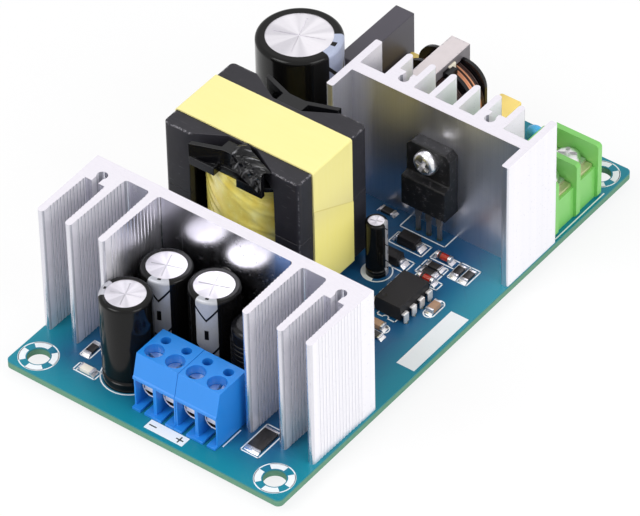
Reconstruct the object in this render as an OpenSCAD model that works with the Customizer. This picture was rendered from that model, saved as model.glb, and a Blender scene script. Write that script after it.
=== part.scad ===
// Open-frame AC to DC power supply module.
// A drilled board carries two extruded heatsinks, a wound transformer, capacitors, a line filter and
// screw terminals. Millimetres, +Z up, +Y towards the mains end.
// The origin is the centre of the four mounting holes, on the underside of the board.

/* [Board] */
// Width of the board along X
board_w = 65; // [61:0.2:75]
// Length of the board along Y
board_l = 114; // [103:0.5:130]
// Thickness of the board
board_t = 1.6; // [1:0.1:2.4]
// Radius of the board's corners
board_corner = 1.2; // [0.5:0.1:3]
// Diameter of the mounting holes
hole_d = 4.5; // [3:0.1:5]
// Distance of each mounting hole from the two nearest edges
hole_inset = 4.5; // [4:0.1:6]
// Length of the leads below the board
lead_stub = 1.8; // [1.4:0.1:2.4]
// Radial clearance of a lead in its hole
lead_clear = 0.15; // [0.1:0.05:0.25]
// Height of a solder joint below the board
solder_h = 1.1; // [0.6:0.1:1.3]

/* [Heatsinks] */
// Height of both extrusions
sink_h = 30; // [26:0.5:40]
// Gap between the output heatsink and the board's sides
out_edge = 0.2; // [0:0.05:0.6]
// Distance from the front of the DC terminal to the back face of the output heatsink
out_setback = 25.9; // [25.4:0.1:28]
// Thickness of the output heatsink's wall
out_wall = 2.5; // [2:0.1:2.7]
// Length of the output heatsink's fins
out_fin_len = 16.3; // [12:0.1:17]
// Thickness of an output fin at its root
fin_root = 2.1; // [1.8:0.1:2.4]
// Thickness of an output fin at its tip
fin_tip = 1.5; // [1.2:0.1:1.7]
// Distance between the two inner fins' centre lines
bay_w = 33.6; // [33.4:0.1:34.6]
// Place of the middle fins, as a share of the way from the inner to the outer ones
fin_share = 0.543; // [0.45:0.001:0.58]
// Depth of the thick base between the outer fins
out_base = 3.8; // [3.2:0.1:5]
// Pitch of the grooves on the output fins
groove_pitch = 0.95; // [0.75:0.05:1.4]
// Depth of the grooves on the output fins
groove_depth = 0.1; // [0.05:0.01:0.25]
// Diameter of the keyhole channels
key_d = 2.2; // [1.8:0.1:2.6]
// Width of the keyhole channels' necks
key_neck = 1.6; // [1:0.1:1.7]
// Width of the bay for the bulk capacitor, beside the primary heatsink
bulk_bay = 22.2; // [19:0.1:24]
// Thickness of the primary heatsink's wall
prim_wall = 2.6; // [2:0.1:3]
// Thickness of the primary heatsink's side plates
prim_plate = 1.6; // [1.2:0.1:2.2]
// Reach of the side plates in front of the mounting face
prim_reach = 6.2; // [5:0.1:7]
// Length of the primary fins behind the wall
prim_fin_len = 7.7; // [7:0.1:8]
// Thickness of the primary fins
prim_fin = 1.4; // [1:0.1:1.8]
// Depth of the thick base round a primary keyhole channel
prim_base = 3; // [2.6:0.1:4]
// Height of a heatsink pin inside its channel
pin_grip = 9; // [5:0.5:15]

/* [Transformer] */
// Width of the ferrite core along X
core_w = 32; // [30:0.1:33]
// Depth of the ferrite core along Y
core_d = 21.4; // [20:0.1:22.4]
// Height of the assembled core
core_h = 30.35; // [26:0.05:34]
// Diameter of the core's centre post
post_d = 13.45; // [11:0.05:14]
// Thickness of the core's end plates
core_plate = 4.5; // [3.5:0.1:6]
// Width of the opening between the legs
core_open = 20; // [19:0.1:21.5]
// Depth of the notch in the end plates
core_notch = 3.8; // [3:0.1:4.4]
// Radius of the round window inside the legs
window_r = 13.6; // [12.8:0.1:14.2]
// Height of the core above the board
core_lift = 2.65; // [2:0.05:4]
// Radius of the core's upright edges
core_corner = 1; // [0.4:0.1:1.6]
// Distance from the board's left side to the core
trafo_inset = 6.1; // [4:0.1:7]
// Outer diameter of the taped winding
winding_d = 22.8; // [19:0.1:24]
// Wall thickness of the bobbin
bobbin_wall = 1; // [0.7:0.1:1.5]
// Clearance of the bobbin in the core
bobbin_clear = 0.2; // [0.1:0.05:0.4]
// Width of the tape band round the core
tape_w = 12.2; // [9:0.1:13]
// Thickness of the tape band
tape_t = 0.3; // [0.1:0.05:0.6]
// Thickness of the tape's overlapping end
lap_t = 0.12; // [0.05:0.01:0.3]
// Pitch of the transformer's pins
trafo_pitch = 5.08; // [4:0.01:5.2]

/* [Capacitors] */
// Diameter of the bulk capacitor's can
bulk_d = 17; // [15:0.1:18.6]
// Height of the bulk capacitor
bulk_h = 32.3; // [25:0.1:40]
// Diameter of the output capacitors' cans
out_cap_d = 10; // [8:0.1:10.2]
// Height of the output capacitors
out_cap_h = 20.7; // [16:0.1:25]
// Diameter of the supply capacitor's can
aux_d = 4.1; // [3.6:0.1:5.5]
// Height of the supply capacitor
aux_h = 13.1; // [9:0.1:14]
// Thickness of the shrink sleeves
sleeve_t = 0.15; // [0.1:0.05:0.3]
// Share of a can's radius that its sleeve leaves bare on top
sleeve_mouth = 0.79; // [0.7:0.01:0.88]
// Length of the box capacitors along Y
box_l = 18; // [16:0.1:19]
// Thickness of the box capacitors along X
box_w = 5; // [4:0.1:5.1]
// Height of the box capacitors
box_h = 11.3; // [9:0.1:13]
// Diameter of the disc capacitor
disc_d = 4.4; // [3.8:0.1:6]
// Thickness of the disc capacitor
disc_t = 2.6; // [2:0.1:3.2]

/* [Output inductor] */
// Diameter of the output inductor over its sleeve
inductor_d = 8.3; // [7:0.1:8.6]
// Height of the output inductor
inductor_h = 17; // [12:0.5:20]
// Diameter of its ferrite rod
rod_d = 4; // [3:0.1:5]
// Pitch of the wire ribs that show through the sleeve
rib_pitch = 1.15; // [0.8:0.05:2]

/* [Line filter] */
// Width of the choke's ferrite bars along X
choke_bar_w = 4.4; // [3.6:0.1:5]
// Thickness of the choke's ferrite bars
choke_bar_t = 2.1; // [1.8:0.1:3]
// Length of the choke's ferrite frame along Y
choke_l = 15.6; // [14:0.1:17]
// Height of the choke's frame above the board
choke_h = 22; // [20:0.1:24]
// Height of the frame's lower bar above the board
choke_lift = 1.5; // [1:0.1:2.5]
// Diameter of the choke's windings
choke_d = 15.8; // [12:0.1:16]
// Thickness of the choke bobbin's flanges
flange_t = 0.8; // [0.5:0.1:1.2]
// Length of the bridge rectifier along Y
bridge_l = 21; // [18:0.1:22]
// Thickness of the bridge rectifier along X
bridge_t = 4.5; // [3.5:0.1:5]
// Height of the bridge rectifier's body
bridge_h = 18.2; // [14:0.1:20]
// Length of the line fuse's body
fuse_l = 9; // [7:0.1:11]
// Diameter of the line fuse's body
fuse_d = 3.6; // [3:0.1:4.4]

/* [Transistor packages] */
// Width of the moulded packages
case_w = 10.2; // [9.5:0.1:10.6]
// Height of the moulded packages
case_h = 15.2; // [14:0.1:16]
// Thickness of the moulded packages at the body
case_t = 4.5; // [4.2:0.1:4.8]
// Thickness of the moulded packages at the tab
tab_t = 2.7; // [2.4:0.1:3]
// Height of the thick body
case_body_h = 7.4; // [6.5:0.1:8]
// Height of the packages above the board
case_lift = 6.7; // [5:0.1:8]
// Nominal diameter of the device screws
screw_d = 3; // [2.5:0.1:3.2]
// Place of the output rectifier along X
rect_x = 0; // [-12:0.5:12]

/* [DC terminal] */
// Pitch of the DC terminal's poles
dc_pitch = 4.9; // [4.7:0.01:5.1]
// Depth of the DC terminal
dc_depth = 9.5; // [9:0.1:10.2]
// Height of the DC terminal
dc_h = 12.8; // [11.5:0.1:14]
// Height of the DC terminal's front lip
dc_lip_z = 8.1; // [7.6:0.1:8.6]
// Setback of the DC terminal's top edge behind its lip
dc_slope = 1.5; // [0.8:0.1:2]
// Diameter of the DC terminal's screw wells
dc_well_d = 3.8; // [3.4:0.1:4.1]
// Width of the DC terminal's wire openings
dc_mouth_w = 4.1; // [3.6:0.1:4.4]

/* [AC terminal] */
// Pitch of the AC terminal's poles
ac_pitch = 7.2; // [7:0.01:7.4]
// Depth of the AC terminal along X
ac_depth = 13.9; // [12:0.1:14]
// Height of the AC terminal's barriers
ac_h = 13.2; // [11.5:0.1:15]
// Thickness of the AC terminal's barriers
ac_wall = 1.3; // [1:0.1:1.4]
// Height of the AC terminal's base
ac_base = 7.6; // [7:0.1:8.5]
// Distance from the board's right edge to the AC terminal
ac_inset = 0.9; // [0.6:0.1:2]
// Diameter of the AC terminal's screw heads
ac_screw_d = 5.2; // [4.4:0.1:5.4]

/* [Small parts] */
// Pitch of the leads on the controller and the optocoupler
dip_pitch = 2.54; // [2.4:0.01:2.6]
// Width of their moulded bodies
dip_w = 6.4; // [5.8:0.1:6.8]
// Height of their bodies
dip_h = 3.3; // [2.8:0.1:3.8]
// Height of their bodies above the board
dip_lift = 0.5; // [0.3:0.1:1]
// Distance between their lead rows
dip_row = 7.62; // [7.4:0.02:8.2]
// Length of a chip part
chip_l = 3.2; // [2:0.1:3.4]
// Width of a chip part
chip_w = 1.6; // [1.2:0.1:1.8]
// Height of a chip resistor
chip_h = 0.6; // [0.4:0.05:0.8]

/* [Hidden] */
$fn = 48;

// Grid that the small parts are placed on
grid = 0.254;
// Overshoot of a cutting solid past the face that it cuts
cut = 0.5;
// Gap between neighbours that stand side by side on the board
gap = 0.45;
front_y = -board_l / 2;
rear_y = board_l / 2;
right_x = board_w / 2;

// Lead sizes
thin_lead_r = 0.3;
lead_r = 0.4;
thick_lead_r = 0.55;
flat_lead_w = 0.8;
flat_lead_t = 0.6;
sink_pin_r = key_d / 2 - 0.01;

// Rows along Y: the terminal in its heatsink, the transformer, the primary heatsink, the line filter.
// What the board's length leaves free is shared out before, between and behind them.
edge_margin = 1;
row_gap = 0.5;
box_gap = 0.9;
rail_in = core_d / 2 + bobbin_clear;
rail_d = 4;
trafo_row = 2 * (rail_in + rail_d);
trans_row = prim_reach + 1.5;
line_row = prim_wall + prim_fin_len + box_gap + box_l + row_gap + disc_t;
free_l = board_l - 2 * edge_margin - out_setback - case_t - row_gap - trafo_row - trans_row - line_row;
dc_y0 = front_y + edge_margin + 0.283 * free_l;
out_back_y = dc_y0 + out_setback;
trafo_front = out_back_y + case_t + row_gap + 0.274 * free_l;
trafo_rear = trafo_front + trafo_row;
prim_face_y = trafo_rear + trans_row + 0.221 * free_l;

// Output heatsink
out_x = -0.2;
out_w = board_w - 2 * out_edge;
out_face_y = out_back_y - out_wall;
out_tip_y = out_face_y - out_fin_len;
inner_fin = bay_w / 2;
outer_fin = (out_w - fin_root) / 2;
middle_fin = inner_fin + fin_share * (outer_fin - inner_fin);
bay_left = out_x - inner_fin + fin_root / 2;
fin_draw = (fin_root - fin_tip) / 2;
out_key = [(middle_fin + outer_fin) / 2, out_face_y - out_base + key_d];
groove_land = 0.3 * groove_pitch;
groove_floor = 0.13 * groove_pitch;
root_fillet = 0.7;

// Primary heatsink
prim_rear_y = prim_face_y + prim_wall;
prim_tip_y = prim_rear_y + prim_fin_len;
prim_right = right_x - 0.1;
prim_left = bulk_bay - right_x;
prim_w = prim_right - prim_left;
prim_x = (prim_left + prim_right) / 2;
prim_fins = [0.13 * prim_w / 2, 0.363 * prim_w / 2, 0.616 * prim_w / 2];
prim_plate_rear = prim_tip_y - 0.3;
prim_key = [(prim_fins[1] + prim_fins[2]) / 2 - 0.35, prim_rear_y + prim_base - key_d + 0.3];

// Transformer
trafo_x = trafo_inset + core_w / 2 - right_x;
trafo_y = (trafo_front + trafo_rear) / 2;
trafo_right = trafo_x + core_w / 2;
core_half_h = core_h / 2;
core_z = board_t + core_lift;
window_h = core_half_h - core_plate;
tube_r = post_d / 2 + bobbin_clear;
flange_r = window_r - bobbin_clear;
flange_reach = core_d / 2 + 0.3;
flange_bottom_z = core_z + core_plate + bobbin_clear;
flange_top_z = core_z + core_h - core_plate - bobbin_clear;
notch_foot = core_open / 2 - core_notch * 1.75;
guide_h = 5.1;
guide_clear = 0.4;
guide_reach = 1.9;
guide_bar = 1.06;
guide_slope = 0.354;
guide_tip = core_open / 2 - 1.4;
tray_in = 0.26 * guide_tip + 0.4;
tray_h = 1.95;
tray_rim = 0.5;
tray_depth = 0.7;
tape_y = -0.5;
rail_h = 3.2;
rail_l = 5 * trafo_pitch + 2.2;
trafo_pin_y = rail_in + rail_d / 2;

// Bulk capacitor, in the corner between the transformer and the primary heatsink
bulk_r = bulk_d / 2 + sleeve_t;
bulk_x = (prim_left - right_x) / 2;
bulk_y = trafo_rear + row_gap + 0.11 * free_l + bulk_r;
bulk_pitch = 7.5;

// Output capacitors, in the bay of the output heatsink
out_cap_r = out_cap_d / 2 + sleeve_t;
out_cap_pitch = 5;
cap_gap = 0.25;
cap_back = 1.1;
cap_side = 1.2;
out_caps = [
    [bay_left + 0.15 - 0.85 * fin_draw + out_cap_r, out_face_y - cap_back - 3 * out_cap_r - 0.4],
    [bay_left + cap_side + out_cap_r, out_face_y - cap_back - out_cap_r],
    [bay_left + cap_side + 3 * out_cap_r + cap_gap, out_face_y - 0.2 - out_cap_r]
];

// Supply capacitor
aux_r = aux_d / 2 + sleeve_t;
aux_at = [trafo_right + 1.7 + aux_r, prim_face_y - 67 * grid];
aux_pitch = 2;

// Output inductor
inductor_back = 2.4;
inductor_at = [
    out_caps[2][0] + out_cap_r + cap_gap + inductor_d / 2, out_face_y - inductor_back - inductor_d / 2
];
inductor_pitch = 5;
rib_depth = 0.2;

// Line filter, in a row along X from the AC terminal: fuse, box, choke, box, bridge
ac_x1 = right_x - ac_inset;
ac_x0 = ac_x1 - ac_depth;
fuse_x = ac_x0 - 1.9 - fuse_d / 2;
box_2_x = fuse_x - fuse_d / 2 - 1.45 - box_w / 2;
choke_x = box_2_x - box_w / 2 - gap - choke_d / 2;
box_1_x = choke_x - choke_d / 2 - gap - box_w / 2;
choke_y0 = prim_tip_y + 1.3;
choke_y1 = choke_y0 + choke_l;
choke_y = (choke_y0 + choke_y1) / 2;
choke_z0 = board_t + choke_lift;
choke_z1 = board_t + choke_h;
choke_z = (choke_z0 + choke_z1) / 2;
choke_leg = 2.2;
choke_core_r = 2.9;
choke_clear = 0.1;
choke_flange_r = min(choke_d / 2 + 0.1, (choke_z1 - choke_z0) / 2 - choke_bar_t - 0.05);
choke_flange_h = 2 * choke_flange_r + 1.2;
choke_corner = 0.62 * choke_flange_r;
choke_inner = choke_l - 2 * choke_leg - 2 * choke_clear;
choke_foot = 3.2;
choke_tab = [1.6, 2.6, 1];
box_y = prim_tip_y + box_gap + box_l / 2;
box_pitch = 15;
bridge_x = box_1_x - box_w / 2 - gap - bridge_t / 2;
bridge_y = bulk_y + bulk_r + 2 * gap + bridge_l / 2;
bridge_lift = 1.5;
bridge_pitch = 5;
bridge_chamfer = 2;
disc_over = 0.15;
disc_at = [box_2_x + box_w / 2 + disc_d / 2 - disc_over, box_y + box_l / 2 + row_gap + disc_t / 2];
disc_lift = 0.4;
disc_pitch = 3;
fuse_gap = 3;
fuse_bend = 1.5;
fuse_at = [fuse_x, prim_tip_y + fuse_gap + fuse_l / 2];
fuse_lift = 0.4;
fuse_pitch = fuse_l + 2 * fuse_bend;

// Transistor packages
case_lead_pitch = 2.54;
case_lead_off = 2.5;
case_hole_z = 0.796 * case_h;
case_z = board_t + case_lift;
case_chamfer = 0.8;
screw_clear = 0.2;
thread_fit = 0.1;
lead_fit = 0.05;
head_r = 0.87 * screw_d;
head_h = 0.65 * screw_d;
trans_x = prim_x + 0.2;

// DC terminal
dc_left = out_caps[0][0] + out_cap_r + 0.95;
dc_screw_y = dc_y0 + 0.405 * dc_depth;
dc_test_y = dc_y0 + 0.768 * dc_depth;
dc_test_d = 2;
dc_mouth_z = 0.6;
dc_mouth_top = dc_lip_z - 0.9;
dc_mouth_d = 6.6;
dc_foot_gap = 0.95;
dc_toe = 0.6;
dc_screw_top = dc_h - 2.1;
dc_cage_w = dc_mouth_w - 0.3;
dc_cage_d = 3;
dc_cage_t = 0.35;
dc_cage_y = dc_screw_y - 0.2;
dc_cage_fit = 0.05;
dc_cage_z = 2.4;
dc_cage_h = dc_mouth_top - dc_cage_z - dc_cage_fit;

// AC terminal
ac_y0 = prim_plate_rear + 0.7;
ac_bay = ac_pitch - ac_wall;
ac_front = 0.7;
ac_back = 2;
ac_plate_t = 0.8;
ac_plate_l = ac_depth - ac_back - 1.2;
ac_screw_x = ac_x1 - 0.375 * ac_depth;
ac_rake = 0.24 * ac_depth;
ac_back_rise = 3;
ac_back_h = ac_base + ac_back_rise;
ac_bore = 3;
ac_bore_end = 0.188;
ac_edge = 0.8;
ac_washer_t = 0.7;
ac_tail = 1;

// Small parts beside the transformer
controller_at = [trafo_right + 52 * grid, prim_face_y - 85 * grid];
controller_l = 3 * dip_pitch + 1.7;
opto_at = [trafo_right + 25 * grid, prim_face_y - 148 * grid];
opto_l = dip_pitch + 2.1;
dip_lead_t = 0.28;
dip_lead_w = 0.5;
dip_shoulder = 1.4;

// Chip parts: place, turn about Z, length, width
resistors = [
    [trafo_right + 48 * grid, prim_face_y - 38 * grid, 0, chip_l, chip_w],
    [trafo_right + 48 * grid, prim_face_y - 46 * grid, 0, chip_l, chip_w],
    [trafo_right + 66 * grid, prim_face_y - 32 * grid, 90, chip_l, chip_w],
    [trafo_right + 75 * grid, prim_face_y - 32 * grid, 90, chip_l, chip_w],
    [trafo_right - 18 * grid, prim_face_y - 8 * grid, 0, chip_l, chip_w],
    [trafo_right + 56 * grid, prim_face_y - 125 * grid, 0, chip_l, chip_w],
    [out_x - (inner_fin + middle_fin) / 2, out_tip_y + 2 * grid, 90, chip_l, chip_w],
    [out_x + (inner_fin + middle_fin) / 2 - grid, out_tip_y - grid, 90, 2 * chip_l, 2 * chip_w]
];
chip_caps = [
    [trafo_right + 75 * grid, prim_face_y - 76 * grid, 90, chip_l, chip_w],
    [trafo_right + 52 * grid, prim_face_y - 116 * grid, 0, chip_l, chip_w]
];
indicator_at = [out_x - inner_fin - 4 * grid, out_tip_y - 18 * grid];
chip_cap_h = 2 * chip_h;
chip_end = 0.15;
chip_step = 0.05;
diodes = [
    [trafo_right + 17 * grid, prim_face_y - 28 * grid], [trafo_right + 17 * grid, prim_face_y - 50 * grid]
];
diode_l = 4.3;
diode_w = 2.6;
diode_h = 2.1;
diode_reach = 0.6;
glass_at = [
    [trafo_right + 49 * grid, prim_face_y - 27 * grid], [trafo_right + 52 * grid, prim_face_y - 54 * grid]
];
glass_l = 3.5;
glass_r = 0.72;

// Places of the leads, each with its radius
function pair_y(at, pitch, r) = [for (s = [-1, 1]) [at[0], at[1] + s * pitch / 2, r]];
function pair_x(at, pitch, r) = [for (s = [-1, 1]) [at[0] + s * pitch / 2, at[1], r]];
function row_x(at, n, pitch, r) = [for (i = [0 : n - 1]) [at[0] + (i - (n - 1) / 2) * pitch, at[1], r]];
function row_y(at, n, pitch, r) = [for (i = [0 : n - 1]) [at[0], at[1] + (i - (n - 1) / 2) * pitch, r]];
function half_diagonal(w, t) = sqrt(w * w + t * t) / 2;
sink_pins = concat(
    [for (s = [-1, 1]) [out_x + s * out_key[0], out_key[1], sink_pin_r]],
    [for (s = [-1, 1]) [prim_x + s * prim_key[0], prim_key[1], sink_pin_r]]
);
trafo_pins = [for (s = [-1, 1]) each row_x([trafo_x, trafo_y + s * trafo_pin_y], 6, trafo_pitch, thick_lead_r)];
cap_leads = concat(
    pair_x([bulk_x, bulk_y], bulk_pitch, lead_r),
    [for (c = out_caps) each pair_x(c, out_cap_pitch, thin_lead_r)],
    pair_y(aux_at, aux_pitch, thin_lead_r),
    pair_y([box_1_x, box_y], box_pitch, lead_r),
    pair_y([box_2_x, box_y], box_pitch, lead_r)
);
disc_leads = pair_x(disc_at, disc_pitch, thin_lead_r);
inductor_pins = pair_y(inductor_at, inductor_pitch, lead_r);
case_lead_r = half_diagonal(flat_lead_w, flat_lead_t);
trans_leads = row_x([trans_x, prim_face_y - case_lead_off], 3, case_lead_pitch, case_lead_r);
rect_leads = row_x([out_x + rect_x, out_back_y + case_lead_off], 3, case_lead_pitch, case_lead_r);
bridge_pins = row_y([bridge_x, bridge_y], 4, bridge_pitch, thick_lead_r);
choke_feet = [for (s = [-1, 1]) each pair_y([choke_x + s * choke_foot, choke_y], choke_inner - 2, lead_r)];
ac_pins = [
    for (i = [0, 1]) [ac_x0 + ac_back + ac_tail, ac_y0 + ac_wall + ac_bay / 2 + i * ac_pitch, thick_lead_r]
];
dc_pole_x = [for (i = [0 : 3]) dc_left + (i + 0.5) * dc_pitch];
dc_pins = [for (x = dc_pole_x) [x, dc_cage_y, thick_lead_r]];
dip_lead_r = half_diagonal(dip_lead_w, dip_lead_t);
function dip_leads(at, n) = [
    for (s = [-1, 1]) each row_y([at[0] + s * dip_row / 2, at[1]], n, dip_pitch, dip_lead_r)
];
fuse_pins = pair_y(fuse_at, fuse_pitch, lead_r);
all_leads = concat(
    sink_pins, trafo_pins, cap_leads, disc_leads, inductor_pins, trans_leads, rect_leads, bridge_pins,
    choke_feet, ac_pins, dc_pins, dip_leads(controller_at, 4), dip_leads(opto_at, 2), fuse_pins
);

// Rectangle with round corners, centred
module round_plate(w, l, r) {
    square([w - 2 * r, l], center = true);
    square([w, l - 2 * r], center = true);
    for (sx = [-1, 1], sy = [-1, 1])
        translate([sx * (w / 2 - r), sy * (l / 2 - r)]) circle(r);
}

// Straight round lead from a height z_top down through the board
module lead(p, z_top) {
    translate([p[0], p[1], -lead_stub]) cylinder(r = p[2], h = z_top + lead_stub);
}

// Profile of a drawn can: round shoulder on top, crimped groove near the foot
module can_profile(r, h, shoulder, groove, groove_z) {
    difference() {
        union() {
            square([r, h - shoulder]);
            square([r - shoulder, h]);
            translate([r - shoulder, h - shoulder]) circle(shoulder);
        }
        translate([r + groove * 0.45, groove_z]) circle(groove);
        translate([-r, -cut]) square([r, h + 2 * cut]);
    }
}

function can_shoulder(d) = 0.025 * d + 0.3;
function can_groove(d) = 0.03 * d + 0.5;
function can_groove_z(d) = 0.1 * d + 1.4;

// Capacitor can with a scored cross on its top
module capacitor_can(d, h) {
    score_w = 0.25;
    score_d = 0.12;
    difference() {
        rotate_extrude() can_profile(d / 2, h - sleeve_t, can_shoulder(d), can_groove(d), can_groove_z(d));
        for (a = [0, 90])
            rotate([0, 0, a + 20]) translate([0, 0, h - sleeve_t])
                cube([0.62 * d, score_w, 2 * score_d], center = true);
    }
}

// Shrink sleeve round a can, turned in over its shoulder
module capacitor_sleeve(d, h) {
    r = d / 2;
    rotate_extrude() difference() {
        can_profile(r + sleeve_t, h, can_shoulder(d) + sleeve_t, can_groove(d) - sleeve_t, can_groove_z(d));
        can_profile(r, h - sleeve_t, can_shoulder(d), can_groove(d), can_groove_z(d));
        square([sleeve_mouth * r, h + cut]);
    }
}

// Fin along -Y with grooved faces, a taper and a round tip
module grooved_fin(x, y_root, length) {
    tip_r = fin_tip / 2;
    run = length - tip_r;
    count = floor((run - 1.6) / groove_pitch);
    function half(s) = (fin_root + (fin_tip - fin_root) * s / run) / 2;
    function face(side) = [
        for (i = [0 : count - 1])
        let (s = 1.2 + (i + 0.5) * groove_pitch)
        each [
            [x + side * half(s - groove_land), y_root - s + groove_land],
            [x + side * (half(s - groove_floor) - groove_depth), y_root - s + groove_floor],
            [x + side * (half(s + groove_floor) - groove_depth), y_root - s - groove_floor],
            [x + side * half(s + groove_land), y_root - s - groove_land]
        ]
    ];
    right = face(1);
    polygon(concat(
        [[x - half(0), y_root + cut], [x - half(0), y_root]], face(-1),
        [[x - tip_r, y_root - run], [x + tip_r, y_root - run]],
        [for (i = [len(right) - 1 : -1 : 0]) right[i]],
        [[x + half(0), y_root], [x + half(0), y_root + cut]]
    ));
    translate([x, y_root - run]) circle(tip_r);
}

// Fillet in the corner at (x, y), filling towards sx, sy
module corner_fillet(x, y, sx, sy, r) {
    overlap = 0.2;
    side = r + overlap;
    translate([x, y]) difference() {
        translate([sx > 0 ? -overlap : -r, sy > 0 ? -overlap : -r]) square(side);
        translate([sx * r, sy * r]) circle(r);
    }
}

// Keyhole channel that opens along sy
module keyhole(at, sy, depth) {
    translate(at) circle(d = key_d);
    translate([at[0] - key_neck / 2, sy > 0 ? at[1] : at[1] - depth]) square([key_neck, depth]);
}

module output_profile() {
    difference() {
        union() {
            translate([-out_w / 2, out_face_y]) square([out_w, out_wall]);
            for (s = [-1, 1]) {
                for (f = [inner_fin, middle_fin, outer_fin])
                    grooved_fin(s * f, out_face_y, out_fin_len);
                translate([min(s * middle_fin, s * outer_fin), out_face_y - out_base])
                    square([outer_fin - middle_fin, out_base + cut]);
                corner_fillet(s * (inner_fin - fin_root / 2), out_face_y, -s, -1, root_fillet);
                corner_fillet(s * (inner_fin + fin_root / 2), out_face_y, s, -1, root_fillet);
                corner_fillet(s * (middle_fin - fin_root / 2), out_face_y, -s, -1, root_fillet);
            }
        }
        for (s = [-1, 1])
            keyhole([s * out_key[0], out_key[1]], -1, out_base);
    }
}

// Plain fin along +Y with a round tip
module plain_fin(x, y_root, length, t) {
    translate([x - t / 2, y_root - cut]) square([t, length - t / 2 + cut]);
    translate([x, y_root + length - t / 2]) circle(d = t);
}

module primary_profile() {
    plate_l = prim_plate_rear - prim_face_y + prim_reach;
    difference() {
        union() {
            translate([-prim_w / 2, prim_face_y]) square([prim_w, prim_wall]);
            for (s = [-1, 1]) {
                translate([s * (prim_w - prim_plate) / 2, prim_face_y - prim_reach + plate_l / 2])
                    round_plate(prim_plate, plate_l, prim_plate / 4);
                for (f = prim_fins) plain_fin(s * f, prim_rear_y, prim_fin_len, prim_fin);
                translate([min(s * prim_fins[1], s * prim_fins[2]), prim_rear_y - cut])
                    square([prim_fins[2] - prim_fins[1], prim_base + cut]);
            }
        }
        for (s = [-1, 1])
            keyhole([s * prim_key[0], prim_key[1]], 1, prim_base);
    }
}

module screw_hole(x, y, z, length) {
    translate([x, y, z]) rotate([-90, 0, 0]) translate([0, 0, -cut])
        cylinder(d = screw_d + thread_fit, h = length + 2 * cut);
}

module circuit_board() {
    color("teal") difference() {
        linear_extrude(board_t) round_plate(board_w, board_l, board_corner);
        for (sx = [-1, 1], sy = [-1, 1])
            translate([sx * (board_w / 2 - hole_inset), sy * (board_l / 2 - hole_inset), -cut])
                cylinder(d = hole_d, h = board_t + 2 * cut);
        for (p = all_leads)
            translate([p[0], p[1], -cut]) cylinder(r = p[2] + lead_clear, h = board_t + 2 * cut);
    }
}

module output_heatsink() {
    color("silver") difference() {
        translate([out_x, 0, board_t]) linear_extrude(sink_h) output_profile();
        screw_hole(out_x + rect_x, out_face_y, case_z + case_hole_z, out_wall);
    }
}

module primary_heatsink() {
    color("silver") difference() {
        translate([prim_x, 0, board_t]) linear_extrude(sink_h) primary_profile();
        screw_hole(trans_x, prim_face_y, case_z + case_hole_z, prim_wall);
    }
}

module heatsink_pins() {
    color("gainsboro") for (p = sink_pins) lead(p, board_t + pin_grip);
}

// Outline of the ferrite core seen from above, notched at the front and the back
module core_outline() {
    edge = [
        [core_w / 2, core_d / 2], [core_open / 2, core_d / 2], [notch_foot, core_d / 2 - core_notch],
        [-notch_foot, core_d / 2 - core_notch], [-core_open / 2, core_d / 2], [-core_w / 2, core_d / 2]
    ];
    intersection() {
        polygon(concat(edge, [for (p = edge) -p]));
        round_plate(core_w, core_d, core_corner);
    }
}

// One core half: end plate, two legs and the centre post, with the mating faces at z = 0
module core_half() {
    difference() {
        linear_extrude(core_half_h) core_outline();
        translate([0, 0, -cut]) linear_extrude(window_h + cut) difference() {
            union() {
                circle(window_r);
                square([core_open, core_d + 2 * cut], center = true);
            }
            circle(d = post_d);
        }
    }
}

module transformer_core_upper() {
    color("dimgray") translate([trafo_x, trafo_y, core_z + core_half_h]) core_half();
}

module transformer_core_lower() {
    color("dimgray") translate([trafo_x, trafo_y, core_z + core_half_h]) mirror([0, 0, 1]) core_half();
}

// Front edge of the bobbin's wire fence at x from the middle of the core
function fence_front(x) = core_d / 2 + guide_reach - (guide_tip - x) * guide_slope;

// Wire fence of the bobbin: a hub in the notch of the end plate and two bars that lean out of it
module wire_fence() {
    back = core_d / 2 - core_notch + guide_clear;
    outer = notch_foot - guide_clear;
    inner = outer - guide_bar;
    right = [
        [outer, back], [outer, fence_front(outer) - guide_bar], [guide_tip, fence_front(guide_tip) - guide_bar],
        [guide_tip, fence_front(guide_tip)], [inner, fence_front(inner)]
    ];
    polygon(concat(right, [for (i = [len(right) - 1 : -1 : 0]) [-right[i][0], right[i][1]]]));
}

// Tray before one fence bar: a shelf on the flange with a three-sided pocket inside its rim
module wire_tray() {
    front = fence_front(guide_tip);
    side = tray_in + tray_rim;
    difference() {
        linear_extrude(tray_h) polygon([
            [tray_in, fence_front(tray_in) - guide_bar], [guide_tip, front - guide_bar],
            [guide_tip, front], [tray_in, front]
        ]);
        translate([0, 0, tray_h - tray_depth]) linear_extrude(tray_depth + cut) polygon([
            [side, front - tray_rim], [side, fence_front(side)],
            [guide_tip - tray_rim / guide_slope, front - tray_rim]
        ]);
    }
}

module bobbin_flange() {
    intersection() {
        circle(flange_r);
        square([core_w, 2 * flange_reach], center = true);
    }
}

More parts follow.
